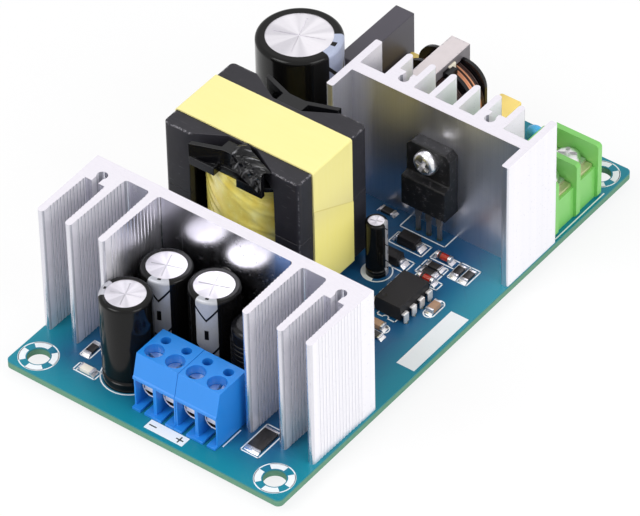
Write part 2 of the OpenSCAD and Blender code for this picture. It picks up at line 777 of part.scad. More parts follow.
module transformer_bobbin() {
    riser_w = core_open - 2;
    riser_d = flange_reach - rail_in + 1.2;
    wall_h = flange_top_z - flange_bottom_z;
    color("black") translate([trafo_x, trafo_y, 0]) {
        translate([0, 0, flange_bottom_z]) linear_extrude(wall_h) difference() {
            circle(tube_r + bobbin_wall);
            circle(tube_r);
        }
        for (z = [flange_bottom_z, flange_top_z - bobbin_wall])
            translate([0, 0, z]) linear_extrude(bobbin_wall) difference() {
                bobbin_flange();
                circle(tube_r);
            }
        for (s = [0, 1]) mirror([0, s]) {
            translate([0, 0, flange_top_z - bobbin_wall]) {
                linear_extrude(guide_h) difference() {
                    wire_fence();
                    circle(tube_r);
                }
                for (m = [0, 1]) mirror([m, 0]) wire_tray();
            }
            translate([-rail_l / 2, rail_in, board_t]) cube([rail_l, rail_d, rail_h]);
            translate([-riser_w / 2, rail_in, board_t])
                cube([riser_w, riser_d, flange_bottom_z + bobbin_wall - board_t]);
        }
    }
}

module transformer_winding() {
    r0 = tube_r + bobbin_wall;
    r1 = winding_d / 2;
    z0 = flange_bottom_z + bobbin_wall;
    h = flange_top_z - flange_bottom_z - 2 * bobbin_wall;
    swell = 0.15;
    color("khaki") translate([trafo_x, trafo_y, z0]) rotate_extrude()
        polygon([[r0, 0], [r1 - 0.4, 0], [r1, 1.2], [r1 + swell, h / 2], [r1, h - 1.2], [r1 - 0.4, h], [r0, h]]);
}

// Band of tape round the core, with its end lapped over the right face below a slanted seam
module transformer_tape() {
    lap = [
        [0, -tape_t], [tape_w, -tape_t], [tape_w, 0.5 * core_h], [0, 0.69 * core_h]
    ];
    color("khaki") translate([trafo_x, trafo_y + tape_y - tape_w / 2, core_z]) difference() {
        union() {
            translate([-core_w / 2 - tape_t, 0, -tape_t])
                cube([core_w + 2 * tape_t, tape_w, core_h + 2 * tape_t]);
            translate([core_w / 2, 0, 0]) rotate([90, 0, 90]) linear_extrude(tape_t + lap_t) polygon(lap);
        }
        translate([-core_w / 2, -cut, 0]) cube([core_w, tape_w + 2 * cut, core_h]);
    }
}

module transformer_pins() {
    color("gainsboro") for (p = trafo_pins) lead(p, board_t);
}

module bulk_capacitor_can() {
    color("gainsboro") translate([bulk_x, bulk_y, board_t]) capacitor_can(bulk_d, bulk_h);
}

module bulk_capacitor_sleeve() {
    color("black") translate([bulk_x, bulk_y, board_t]) capacitor_sleeve(bulk_d, bulk_h);
}

module output_capacitor_can(i) {
    color("gainsboro") translate([out_caps[i][0], out_caps[i][1], board_t]) capacitor_can(out_cap_d, out_cap_h);
}

module output_capacitor_sleeve(i) {
    color("black") translate([out_caps[i][0], out_caps[i][1], board_t]) capacitor_sleeve(out_cap_d, out_cap_h);
}

module supply_capacitor_can() {
    color("gainsboro") translate([aux_at[0], aux_at[1], board_t]) capacitor_can(aux_d, aux_h);
}

module supply_capacitor_sleeve() {
    color("black") translate([aux_at[0], aux_at[1], board_t]) capacitor_sleeve(aux_d, aux_h);
}

module capacitor_leads() {
    color("gainsboro") {
        for (p = cap_leads) lead(p, board_t);
        difference() {
            for (p = disc_leads) lead(p, board_t + disc_lift + disc_d / 2);
            disc_shape();
        }
    }
}

module inductor_rod() {
    color("dimgray") translate([inductor_at[0], inductor_at[1], board_t])
        cylinder(d = rod_d, h = inductor_h);
}

// Shrink sleeve over the wound rod, with the turns showing as ribs and the top drawn in
module inductor_sleeve() {
    r = inductor_d / 2 - rib_depth;
    ribs = floor((inductor_h - 3) / rib_pitch);
    color("black") translate([inductor_at[0], inductor_at[1], board_t]) rotate_extrude() difference() {
        union() {
            translate([rod_d / 2, 0]) square([r - rod_d / 2, inductor_h - 1.2]);
            translate([rod_d / 2, 0]) square([r - rod_d / 2 - 1.2, inductor_h]);
            translate([r - 1.2, inductor_h - 1.2]) circle(1.2);
            for (i = [0 : ribs - 1])
                translate([r - rib_pitch * 0.45 + rib_depth, (i + 0.7) * rib_pitch]) circle(rib_pitch * 0.45);
        }
        square([rod_d / 2, inductor_h + cut]);
    }
}

module inductor_leads() {
    color("gainsboro") for (p = inductor_pins) lead(p, board_t);
}

// Moulded package standing on its foot, with its mounting face at y = 0 and its body towards -Y
module device_body() {
    edge = 0.25;
    side = [
        [0, 0], [case_t - edge, 0], [case_t, 2 * edge], [case_t, case_body_h - edge],
        [case_t - edge, case_body_h], [tab_t + edge, case_body_h + edge], [tab_t, case_body_h + 2 * edge],
        [tab_t, case_h - edge], [tab_t - edge, case_h], [0, case_h]
    ];
    difference() {
        translate([case_w / 2, 0, 0]) rotate([90, 0, -90]) linear_extrude(case_w) polygon(side);
        translate([0, cut, case_hole_z]) rotate([90, 0, 0])
            cylinder(d = screw_d + 2 * screw_clear, h = tab_t + 2 * cut);
        for (s = [-1, 1])
            translate([s * case_w / 2, -tab_t - cut, case_h]) rotate([-90, 0, 0]) rotate([0, 0, 45])
                translate([-case_chamfer, -case_chamfer, 0])
                    cube([2 * case_chamfer, 2 * case_chamfer, tab_t + 2 * cut]);
    }
}

// Flat leads of a moulded package: a wide shoulder, then a narrow tail through the board
module device_leads(pins) {
    shoulder_w = 1.3;
    shoulder_l = 3;
    for (p = pins) {
        translate([p[0] - flat_lead_w / 2, p[1] - flat_lead_t / 2, -lead_stub])
            cube([flat_lead_w, flat_lead_t, case_z + lead_stub]);
        translate([p[0] - shoulder_w / 2, p[1] - flat_lead_t / 2, case_z - shoulder_l])
            cube([shoulder_w, flat_lead_t, shoulder_l]);
    }
}

// Pan-head cross-recess screw, with its head's seat at y = 0 and its shank towards +Y
module device_screw(length) {
    recess_w = 0.28 * screw_d;
    recess_l = 1.05 * screw_d;
    recess_d = 0.6 * head_h;
    rotate([-90, 0, 0]) {
        cylinder(d = screw_d, h = length);
        difference() {
            rotate_extrude() difference() {
                translate([0, -head_h]) square([head_r, head_h]);
                difference() {
                    translate([head_r - head_h * 0.6, -head_h - cut]) square([head_h, head_h * 0.6 + cut]);
                    translate([head_r - head_h * 0.6, -head_h * 0.4]) circle(head_h * 0.6);
                }
            }
            for (a = [0, 90])
                rotate([0, 0, a + 25]) translate([-recess_l / 2, -recess_w / 2, -head_h - cut])
                    cube([recess_l, recess_w, recess_d + cut]);
        }
    }
}

module transistor_body() {
    color("black") translate([trans_x, prim_face_y, case_z]) device_body();
}

module transistor_leads() {
    color("gainsboro") device_leads(trans_leads);
}

module rectifier_body() {
    color("black") translate([out_x + rect_x, out_back_y, case_z]) mirror([0, 1]) device_body();
}

module rectifier_leads() {
    color("gainsboro") device_leads(rect_leads);
}

module device_screws() {
    color("silver") {
        translate([trans_x, prim_face_y - tab_t, case_z + case_hole_z]) device_screw(tab_t + prim_wall);
        translate([out_x + rect_x, out_back_y + tab_t, case_z + case_hole_z]) mirror([0, 1])
            device_screw(tab_t + out_wall);
    }
}

// Flat in-line bridge with one cut corner
module bridge_body() {
    color("dimgray") translate([bridge_x - bridge_t / 2, bridge_y, board_t + bridge_lift]) rotate([90, 0, 90])
        linear_extrude(bridge_t) polygon([
            [-bridge_l / 2, 0], [bridge_l / 2, 0], [bridge_l / 2, bridge_h],
            [-bridge_l / 2 + bridge_chamfer, bridge_h], [-bridge_l / 2, bridge_h - bridge_chamfer]
        ]);
}

module bridge_leads() {
    color("gainsboro") for (p = bridge_pins) lead(p, board_t + bridge_lift);
}

module box_capacitor(x) {
    edge = 0.5;
    color("gold") translate([x, box_y, board_t]) linear_extrude(box_h) round_plate(box_w, box_l, edge);
}

// Closed ferrite frame in the YZ plane with a round middle leg along Y
module choke_core() {
    h = choke_z1 - choke_z0;
    color("darkgray") {
        difference() {
            translate([choke_x - choke_bar_w / 2, choke_y0, choke_z0]) cube([choke_bar_w, choke_l, h]);
            translate([choke_x - choke_bar_w / 2 - cut, choke_y0 + choke_leg, choke_z0 + choke_bar_t])
                cube([choke_bar_w + 2 * cut, choke_l - 2 * choke_leg, h - 2 * choke_bar_t]);
        }
        translate([choke_x, choke_y0 + choke_leg, choke_z]) rotate([-90, 0, 0])
            cylinder(d = choke_bar_w, h = choke_l - 2 * choke_leg);
    }
}

// Reel on the middle leg: three flanges with feet on the board, and a tab beside the upper bar
module choke_bobbin() {
    pitch = (choke_inner - flange_t) / 2;
    foot_w = 2 * choke_foot + 2.4;
    foot_d = choke_inner;
    tab_x = choke_x + choke_bar_w / 2 + choke_clear;
    tab_z = choke_z1 - choke_tab[2];
    color("black") difference() {
        union() {
            translate([choke_x, choke_y - choke_inner / 2, choke_z]) rotate([-90, 0, 0]) {
                cylinder(r = choke_core_r, h = choke_inner);
                for (i = [0 : 2])
                    translate([0, 0, i * pitch]) linear_extrude(flange_t)
                        round_plate(2 * choke_flange_r, choke_flange_h, choke_corner);
            }
            for (i = [0 : 2])
                translate([choke_x - foot_w / 2, choke_y - choke_inner / 2 + i * pitch, board_t])
                    cube([foot_w, flange_t, choke_z - board_t]);
            translate([choke_x - foot_w / 2, choke_y - foot_d / 2, board_t])
                cube([foot_w, foot_d, choke_lift - choke_clear]);
            translate([tab_x, choke_y - flange_t / 2, choke_z])
                cube([choke_tab[0], flange_t, tab_z - choke_z]);
            translate([tab_x, choke_y - choke_tab[1] / 2, choke_z + choke_flange_r])
                cube([choke_tab[0], choke_tab[1], tab_z - choke_z - choke_flange_r]);
        }
        translate([choke_x, choke_y - choke_l / 2, choke_z]) rotate([-90, 0, 0])
            cylinder(d = choke_bar_w + 2 * choke_clear, h = choke_l);
        for (z = [choke_z0, choke_z1 - choke_bar_t])
            translate([choke_x - choke_bar_w / 2 - choke_clear, choke_y0, z - choke_clear])
                cube([choke_bar_w + 2 * choke_clear, choke_l, choke_bar_t + 2 * choke_clear]);
    }
}

module choke_winding(i) {
    pitch = (choke_inner - flange_t) / 2;
    length = pitch - flange_t;
    color("saddlebrown") translate([choke_x, choke_y - choke_inner / 2 + i * pitch + flange_t, choke_z])
        rotate([-90, 0, 0]) difference() {
            cylinder(r = choke_flange_r, h = length);
            translate([0, 0, -cut]) cylinder(r = choke_core_r, h = length + 2 * cut);
        }
}

module choke_pins() {
    color("gainsboro") for (p = choke_feet) lead(p, board_t);
}

// One barrier seen from the side, sloping down to the back wall
module barrier() {
    intersection() {
        translate([ac_depth / 2, ac_h / 2]) round_plate(ac_depth, ac_h, ac_edge);
        polygon([[0, 0], [ac_depth, 0], [ac_depth, ac_h], [ac_rake, ac_h], [0, ac_back_h]]);
    }
}

// Barrier block: a base with a step, three barriers and a back wall
module ac_terminal_housing() {
    color("limegreen") difference() {
        union() {
            translate([ac_x0, ac_y0, board_t]) cube([ac_depth - ac_front, 2 * ac_pitch + ac_wall, ac_base]);
            translate([ac_x0, ac_y0, board_t]) cube([ac_back, 2 * ac_pitch + ac_wall, ac_back_h]);
            for (i = [0 : 2])
                translate([ac_x0, ac_y0 + i * ac_pitch + ac_wall, board_t]) rotate([90, 0, 0])
                    linear_extrude(ac_wall) barrier();
        }
        for (i = [0, 1]) {
            translate([ac_pins[i][0], ac_pins[i][1], board_t - cut])
                cylinder(r = thick_lead_r + lead_fit, h = ac_base + 2 * cut);
            translate([ac_screw_x, ac_pins[i][1], board_t + ac_base - ac_bore])
                cylinder(d = screw_d + thread_fit, h = ac_bore + cut);
        }
    }
}

module ac_terminal_contacts() {
    color("gold") for (p = ac_pins) {
        lead(p, board_t + ac_base);
        difference() {
            translate([ac_x0 + ac_back, p[1] - ac_bay / 2 + 0.2, board_t + ac_base])
                cube([ac_plate_l, ac_bay - 0.4, ac_plate_t]);
            translate([ac_screw_x, p[1], board_t + ac_base - cut])
                cylinder(d = screw_d + thread_fit, h = ac_plate_t + 2 * cut);
        }
    }
}

module ac_terminal_washers() {
    side = ac_bay - 0.7;
    color("silver") for (p = ac_pins)
        translate([ac_screw_x, p[1], board_t + ac_base + ac_plate_t]) difference() {
            translate([-side / 2, -side / 2, 0]) cube([side, side, ac_washer_t]);
            translate([0, 0, -cut]) cylinder(d = screw_d + 0.2, h = ac_washer_t + 2 * cut);
        }
}

module ac_terminal_screws() {
    head = 0.365 * ac_screw_d;
    recess = 0.47 * head;
    slot = 0.155 * ac_screw_d;
    seat_z = board_t + ac_base + ac_plate_t + ac_washer_t;
    shank = ac_plate_t + ac_washer_t + ac_bore - ac_bore_end;
    color("silver") for (p = ac_pins)
        translate([ac_screw_x, p[1], seat_z]) difference() {
            union() {
                translate([0, 0, -shank]) cylinder(d = screw_d, h = shank);
                rotate_extrude() {
                    square([ac_screw_d / 2, head * 0.5]);
                    square([ac_screw_d / 2 - head * 0.5, head]);
                    translate([ac_screw_d / 2 - head * 0.5, head * 0.5]) intersection() {
                        circle(head * 0.5);
                        square(head);
                    }
                }
            }
            for (a = [0, 90])
                rotate([0, 0, a + 30]) translate([-0.36 * ac_screw_d, -slot / 2, head - recess])
                    cube([0.72 * ac_screw_d, slot, recess + cut]);
        }
}

// One two-pole block: sloped front, screw wells, test holes and footed wire openings
module dc_terminal_housing(block) {
    x0 = dc_left + block * 2 * dc_pitch;
    seam = 0.03;
    lip = 0.3;
    side = [
        [-dc_toe, 0], [dc_depth, 0], [dc_depth, dc_h], [dc_slope, dc_h], [lip, dc_lip_z],
        [0, dc_lip_z - 0.3], [0, dc_lip_z - 0.9], [lip, dc_lip_z - 1.1], [lip, dc_mouth_z], [-dc_toe, dc_mouth_z]
    ];
    color("dodgerblue") difference() {
        translate([x0 + seam, dc_y0, board_t]) rotate([90, 0, 90])
            linear_extrude(2 * dc_pitch - 2 * seam) polygon(side);
        for (i = [0, 1]) {
            x = dc_pole_x[2 * block + i];
            translate([x, dc_screw_y, board_t + dc_mouth_top - cut])
                cylinder(d = dc_well_d, h = dc_h - dc_mouth_top + 2 * cut);
            translate([x, dc_test_y, board_t + dc_h / 2]) cylinder(d = dc_test_d, h = dc_h / 2 + cut);
            translate([x - dc_mouth_w / 2, dc_y0 - cut, board_t + dc_mouth_z])
                cube([dc_mouth_w, dc_mouth_d + cut, dc_mouth_top - dc_mouth_z]);
            translate([x - dc_foot_gap / 2, dc_y0 - dc_toe - cut, board_t - cut])
                cube([dc_foot_gap, dc_mouth_d + dc_toe + cut, dc_mouth_z + 2 * cut]);
            translate([x, dc_cage_y, board_t - cut])
                cylinder(r = thick_lead_r + lead_fit, h = dc_mouth_z + 2 * cut);
        }
    }
}

// Clamp cage seen from the front: straight sides on a round foot, drawn in by wall
module cage_outline(wall) {
    r = dc_cage_w / 2;
    translate([0, r]) circle(r - wall);
    translate([wall - r, r]) square([2 * (r - wall), dc_cage_h - r - wall]);
}

// Rising clamp cages behind the wire openings, each closed by its plate above the mouth
module dc_terminal_cages() {
    color("tan") for (x = dc_pole_x)
        translate([x, dc_cage_y + dc_cage_d / 2, board_t + dc_cage_z]) rotate([90, 0, 0])
            linear_extrude(dc_cage_d) {
                difference() {
                    cage_outline(0);
                    intersection() {
                        cage_outline(dc_cage_t);
                        translate([-dc_cage_w, 0]) square([2 * dc_cage_w, 0.5 * dc_cage_h]);
                    }
                }
                translate([-thick_lead_r, 0]) square([2 * thick_lead_r, dc_cage_t]);
            }
}

module dc_terminal_screws() {
    slot = 0.6;
    z0 = dc_mouth_top - dc_cage_fit;
    color("silver") for (x = dc_pole_x)
        translate([x, dc_screw_y, board_t]) difference() {
            translate([0, 0, z0]) cylinder(d = dc_well_d - 0.2, h = dc_screw_top - z0);
            rotate([0, 0, 35 + 20 * x]) translate([-dc_well_d / 2, -slot / 2, dc_screw_top - 0.8])
                cube([dc_well_d, slot, 0.8 + cut]);
        }
}

module dc_terminal_contacts() {
    color("gold") for (p = dc_pins) lead(p, board_t + dc_cage_z);
}

// Disc standing on its edge, with a round rim
module disc_shape() {
    r = disc_d / 2;
    edge = disc_t / 2;
    translate([disc_at[0], disc_at[1], board_t + disc_lift + r]) rotate([90, 0, 0])
        rotate_extrude() {
            translate([0, -edge]) square([r - edge, disc_t]);
            translate([r - edge, 0]) intersection() {
                circle(edge);
                translate([0, -edge]) square([edge, disc_t]);
            }
        }
}

module disc_capacitor() {
    color("deepskyblue") disc_shape();
}

// Moulded dual-in-line body with drafted sides and a pin-one dimple
module dip_body(at, length) {
    draft = 0.3;
    parting = dip_h / 2;
    h = dip_w / 2;
    color("black") translate([at[0], at[1], board_t + dip_lift]) difference() {
        translate([0, length / 2, 0]) rotate([90, 0, 0]) linear_extrude(length) polygon([
            [-h + draft, 0], [h - draft, 0], [h, parting], [h - draft, dip_h], [-h + draft, dip_h], [-h, parting]
        ]);
        translate([-h + 1.5, -length / 2 + 1.3, dip_h - 0.15]) cylinder(d = 1, h = 1);
    }
}

// Lead of a dual-in-line body on the side s: out of the parting line, down a wide shoulder to a thin tail
module dip_lead(p, s) {
    z1 = board_t + dip_lift + dip_h / 2;
    inner = s * (dip_row / 2 - dip_w / 2);
    translate([min(p[0] - inner, p[0] + s * dip_lead_t / 2), p[1] - dip_shoulder / 2, z1 - dip_lead_t / 2])
        cube([abs(inner) + dip_lead_t / 2, dip_shoulder, dip_lead_t]);
    translate([p[0] - dip_lead_t / 2, p[1] - dip_shoulder / 2, board_t + 0.2])
        cube([dip_lead_t, dip_shoulder, z1 - board_t - 0.2]);
    translate([p[0] - dip_lead_t / 2, p[1] - dip_lead_w / 2, -lead_stub])
        cube([dip_lead_t, dip_lead_w, board_t + lead_stub + 0.4]);
}

module dip_lead_rows(at, n) {
    color("gainsboro") for (p = dip_leads(at, n)) dip_lead(p, sign(p[0] - at[0]));
}

module fuse_body() {
    z = board_t + fuse_lift + fuse_d / 2;
    color("beige") translate([fuse_at[0], fuse_at[1] - fuse_l / 2, z]) rotate([-90, 0, 0])
        cylinder(d = fuse_d, h = fuse_l);
}

// Wire leads of the fuse, bent down at their ends
module fuse_leads() {
    z = board_t + fuse_lift + fuse_d / 2;
    reach = (fuse_pitch - fuse_l) / 2;
    color("gainsboro") for (p = fuse_pins) {
        toward = sign(fuse_at[1] - p[1]);
        lead(p, z);
        translate([p[0], p[1], z]) {
            sphere(lead_r);
            rotate([-90 * toward, 0, 0]) cylinder(r = lead_r, h = reach);
        }
    }
}

// Chip part with raised metal ends
module chip(c, h) {
    translate([c[0], c[1], board_t]) rotate([0, 0, c[2]]) difference() {
        translate([-c[3] / 2, -c[4] / 2, 0]) cube([c[3], c[4], h]);
        translate([-c[3] / 2 + chip_end * c[3], -c[4] / 2 - cut, h - chip_step])
            cube([(1 - 2 * chip_end) * c[3], c[4] + 2 * cut, chip_step + cut]);
    }
}

module chip_resistors() {
    color("dimgray") for (c = resistors) chip(c, chip_h);
}

module chip_capacitors() {
    color("tan") for (c = chip_caps) chip(c, chip_cap_h);
}

// Chip indicator: a lens on a base with metal ends
module indicator() {
    lens = [0.62 * chip_l, 0.9 * chip_w];
    color("ivory") {
        chip([indicator_at[0], indicator_at[1], 0, chip_l, chip_w], chip_h);
        translate([indicator_at[0] - lens[0] / 2, indicator_at[1] - lens[1] / 2, board_t + chip_h / 2])
            cube([lens[0], lens[1], chip_h]);
    }
}

// Moulded diode: drafted body on two folded tabs
module moulded_diodes() {
    draft = 0.25;
    foot_h = 0.25;
    color("black") for (d = diodes)
        translate([d[0], d[1] + diode_w / 2, board_t]) rotate([90, 0, 0]) {
            linear_extrude(diode_w) polygon([
                [-diode_l / 2 + draft, 0], [diode_l / 2 - draft, 0], [diode_l / 2, diode_h / 2],
                [diode_l / 2 - draft, diode_h], [-diode_l / 2 + draft, diode_h], [-diode_l / 2, diode_h / 2]
            ]);
            translate([-diode_l / 2 - diode_reach, 0, diode_w / 4])
                cube([diode_l + 2 * diode_reach, foot_h, diode_w / 2]);
        }
}

module glass_diodes() {
    cap_l = 0.5;
    cap_r = glass_r + 0.06;
    color("firebrick") for (d = glass_at)
        translate([d[0] - glass_l / 2, d[1], board_t + cap_r]) rotate([0, 90, 0]) {
            cylinder(r = glass_r, h = glass_l);
            for (x = [0, glass_l - cap_l]) translate([0, 0, x]) cylinder(r = cap_r, h = cap_l);
        }
}

module solder_joints() {
    foot = 0.6;
    tip = 0.15;
    color("silver") for (p = all_leads)
        translate([p[0], p[1], 0]) rotate_extrude()
            polygon([[p[2], 0], [p[2] + foot, 0], [p[2] + tip, -solder_h], [p[2], -solder_h]]);
}

circuit_board();
output_heatsink();
primary_heatsink();
heatsink_pins();
transformer_core_upper();
transformer_core_lower();
transformer_bobbin();
transformer_winding();
transformer_tape();
transformer_pins();
bulk_capacitor_can();
bulk_capacitor_sleeve();
output_capacitor_can(0);  // output_capacitor_can_1
output_capacitor_can(1);  // output_capacitor_can_2
output_capacitor_can(2);  // output_capacitor_can_3
output_capacitor_sleeve(0);  // output_capacitor_sleeve_1
output_capacitor_sleeve(1);  // output_capacitor_sleeve_2
output_capacitor_sleeve(2);  // output_capacitor_sleeve_3
supply_capacitor_can();
supply_capacitor_sleeve();
capacitor_leads();
inductor_rod();
inductor_sleeve();
inductor_leads();
transistor_body();
transistor_leads();
rectifier_body();
rectifier_leads();
device_screws();
bridge_body();
bridge_leads();
box_capacitor(box_1_x);  // box_capacitor_1
box_capacitor(box_2_x);  // box_capacitor_2
choke_core();
choke_bobbin();
choke_winding(0);  // choke_winding_1
choke_winding(1);  // choke_winding_2
choke_pins();
ac_terminal_housing();
ac_terminal_screws();
ac_terminal_washers();
ac_terminal_contacts();
dc_terminal_housing(0);  // dc_terminal_housing_1
dc_terminal_housing(1);  // dc_terminal_housing_2
dc_terminal_screws();
dc_terminal_cages();
dc_terminal_contacts();
disc_capacitor();
dip_body(controller_at, controller_l);  // controller_body
dip_lead_rows(controller_at, 4);  // controller_leads
dip_body(opto_at, opto_l);  // optocoupler_body
dip_lead_rows(opto_at, 2);  // optocoupler_leads
fuse_body();
fuse_leads();
chip_resistors();
chip_capacitors();
indicator();
moulded_diodes();
glass_diodes();
solder_joints();
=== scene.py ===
import math

import bmesh
import bpy
from mathutils import Matrix, Vector, noise


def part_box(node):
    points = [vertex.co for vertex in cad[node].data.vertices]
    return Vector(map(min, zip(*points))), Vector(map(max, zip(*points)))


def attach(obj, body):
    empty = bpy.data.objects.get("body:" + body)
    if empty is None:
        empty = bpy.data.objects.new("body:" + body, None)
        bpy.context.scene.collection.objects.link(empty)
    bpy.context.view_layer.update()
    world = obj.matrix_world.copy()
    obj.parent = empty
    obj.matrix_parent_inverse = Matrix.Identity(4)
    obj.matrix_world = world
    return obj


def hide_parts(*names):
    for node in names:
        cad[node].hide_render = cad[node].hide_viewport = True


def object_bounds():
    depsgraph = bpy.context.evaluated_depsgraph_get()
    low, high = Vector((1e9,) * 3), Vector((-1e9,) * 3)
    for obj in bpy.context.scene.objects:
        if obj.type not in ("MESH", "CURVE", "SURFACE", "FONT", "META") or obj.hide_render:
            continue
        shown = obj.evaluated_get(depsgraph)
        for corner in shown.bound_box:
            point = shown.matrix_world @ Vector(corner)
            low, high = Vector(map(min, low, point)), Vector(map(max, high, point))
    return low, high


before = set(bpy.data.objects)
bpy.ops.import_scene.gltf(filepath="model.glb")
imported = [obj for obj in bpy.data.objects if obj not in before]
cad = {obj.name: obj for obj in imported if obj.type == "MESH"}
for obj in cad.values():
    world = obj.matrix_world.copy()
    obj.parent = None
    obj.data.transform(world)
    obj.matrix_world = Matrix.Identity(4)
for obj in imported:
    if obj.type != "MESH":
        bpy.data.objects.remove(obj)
cadLow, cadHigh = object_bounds()
mm = 0.001   # sizes of pieces are in millimetres, the stage is in metres
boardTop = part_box("circuit_board")[1].z / mm
print("frame loaded,", len(cad), "nodes")


def boxOf(node):   # lowest and highest corner, in millimetres
    low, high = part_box(node)
    return low / mm, high / mm


# camera at the photograph's place, fitted to the board's corners
viewPoint = {
    "imageWidth": 640, "focalPixels": 5393.15, "sensor": 36.0, "clip": (0.01, 50),
    "azimuth": 37.779, "elevation": 42.005, "roll": -1.262,
    "distance": 1036.98, "target": (-1.618, 0.776, 1.6),
}


def makeCamera(setup):
    azimuth, elevation, roll = (math.radians(setup[k]) for k in ("azimuth", "elevation", "roll"))
    flat = math.cos(elevation)
    back = Vector((math.sin(azimuth) * flat, -math.cos(azimuth) * flat, math.sin(elevation)))
    right = Vector((math.cos(azimuth), math.sin(azimuth), 0))
    up = back.cross(right)
    across = math.cos(roll) * right + math.sin(roll) * up
    upright = math.cos(roll) * up - math.sin(roll) * right
    data = bpy.data.cameras.new("photoCamera")
    data.sensor_fit = "HORIZONTAL"
    data.sensor_width = setup["sensor"]
    data.lens = setup["focalPixels"] / setup["imageWidth"] * setup["sensor"]
    data.clip_start, data.clip_end = setup["clip"]
    camera = bpy.data.objects.new("photoCamera", data)
    bpy.context.scene.collection.objects.link(camera)
    turn = Matrix((across, upright, back)).transposed().to_4x4()
    spot = (Vector(setup["target"]) + back * setup["distance"]) * mm
    camera.matrix_world = Matrix.Translation(spot) @ turn
    bpy.context.scene.camera = camera


makeCamera(viewPoint)
print("camera placed")


# shader maths as plain expressions: a Wire is one output socket
class Wire:
    def __init__(self, owner, socket):
        self.owner = owner
        self.socket = socket

    def out(self, name):
        return Wire(self.owner, self.socket.node.outputs[name])

    def maths(self, operation, *others, flip=False):
        values = [self, *others]
        if flip:
            values.reverse()
        return self.owner.add("ShaderNodeMath", {"operation": operation}, dict(enumerate(values)))

    def __add__(self, other):
        return self.maths("ADD", other)

    def __sub__(self, other):
        return self.maths("SUBTRACT", other)

    def __rsub__(self, other):
        return self.maths("SUBTRACT", other, flip=True)

    def __mul__(self, other):
        return self.maths("MULTIPLY", other)

    def __and__(self, other):
        return self.maths("MINIMUM", other)

    def __or__(self, other):
        return self.maths("MAXIMUM", other)

    def __mod__(self, other):
        return self.maths("FLOORED_MODULO", other)

    def __abs__(self):
        return self.maths("ABSOLUTE")

    __radd__ = __add__
    __rmul__ = __mul__


# the nodes of one material, or of the world
class Tree:
    def __init__(self, block):
        block.use_nodes = True
        self.block = block
        self.tree = block.node_tree
        self.tree.nodes.clear()

    def add(self, kind, settings=None, sockets=None):
        node = self.tree.nodes.new(kind)
        for key, value in (settings or {}).items():
            if key == "stops":
                ramp = node.color_ramp.elements
                while len(ramp) < len(value):
                    ramp.new(0.5)
                for element, (position, colour) in zip(ramp, value):
                    element.position = position
                    element.color = (*colour, 1)
            else:
                setattr(node, key, value)
        for key, value in (sockets or {}).items():
            if isinstance(key, int):
                target = node.inputs[key]
            else:
                target = next(s for s in node.inputs if key in (s.identifier, s.name))
            if isinstance(value, Wire):
                self.tree.links.new(value.socket, target)
            elif target.type == "RGBA" and len(value) == 3:
                target.default_value = (*value, 1)
            else:
                target.default_value = value
        first = next((s for s in node.outputs if s.enabled), None)
        return Wire(self, first) if first else None


# a material that knows its place on the object, in millimetres, and which way it faces
class Paint(Tree):
    def __init__(self, name):
        super().__init__(bpy.data.materials.new(name))
        coords = self.add("ShaderNodeTexCoord")
        self.at = self.add("ShaderNodeVectorMath", {"operation": "SCALE"}, {
            0: coords.out("Object"), "Scale": 1 / mm,
        })
        place = self.add("ShaderNodeSeparateXYZ", {}, {0: self.at})
        self.x, self.y, self.z = (place.out(axis) for axis in "XYZ")
        facing = self.add("ShaderNodeSeparateXYZ", {}, {0: coords.out("Normal")})
        self.nx, self.ny, self.nz = (facing.out(axis) for axis in "XYZ")

    def stretch(self, scale, turn=(0, 0, 0), shift=(0, 0, 0)):
        turned = tuple(math.radians(a) for a in turn)
        return self.add("ShaderNodeMapping", {}, {
            "Vector": self.at, "Location": shift, "Rotation": turned, "Scale": scale,
        })

    def noise(self, scale, detail=2.0, rough=0.5, at=None):
        return self.add("ShaderNodeTexNoise", {}, {
            "Vector": at or self.at, "Scale": scale, "Detail": detail, "Roughness": rough,
        })

    def squares(self, feature, at):
        return self.add("ShaderNodeTexVoronoi", {"feature": feature, "distance": "CHEBYCHEV"}, {
            "Vector": at, "Scale": 1.0,
        })

    def step(self, value, low, high):
        return self.add("ShaderNodeMapRange", {"interpolation_type": "SMOOTHSTEP"}, {
            "Value": value, "From Min": low, "From Max": high,
        })

    def mix(self, factor, first, second):
        return self.add("ShaderNodeMix", {"data_type": "RGBA"}, {
            "Factor_Float": factor, "A_Color": first, "B_Color": second,
        })

    def blend(self, factor, first, second):
        return self.add("ShaderNodeMix", {"data_type": "FLOAT"}, {
            "Factor_Float": factor, "A_Float": first, "B_Float": second,
        })

    def ramp(self, value, stops):
        return self.add("ShaderNodeValToRGB", {"stops": stops}, {"Fac": value})

    def bump(self, height, strength, depth):
        return self.add("ShaderNodeBump", {}, {
            "Height": height, "Strength": strength, "Distance": depth * mm,
        })

    def surface(self, sockets):
        shader = self.add("ShaderNodeBsdfPrincipled", {}, sockets)
        self.add("ShaderNodeOutputMaterial", {}, {"Surface": shader})
        return self.block


# stage: pale floor, white surroundings, soft lamps
studio = {
    "surround": (1.0, 1.0, 1.0), "ambient": 0.66,
    "floorColour": (0.93, 0.93, 0.94), "floorGlow": 0.84, "floorSize": 6.0, "floorGap": 0.00005,
    "lamps": {
        "frontSoftbox": {"at": (-0.30, -0.72, 0.82), "size": 0.55, "power": 5.5},
        "rightSoftbox": {"at": (0.95, -0.10, 0.60), "size": 0.6, "power": 4.4},
        "topSoftbox": {"at": (0.05, 0.25, 1.05), "size": 0.6, "power": 0.4},
    },
}


def seenDirectly(tree):
    rays = tree.add("ShaderNodeLightPath")
    return rays.out("Is Camera Ray") | rays.out("Is Glossy Ray") | rays.out("Is Transmission Ray")


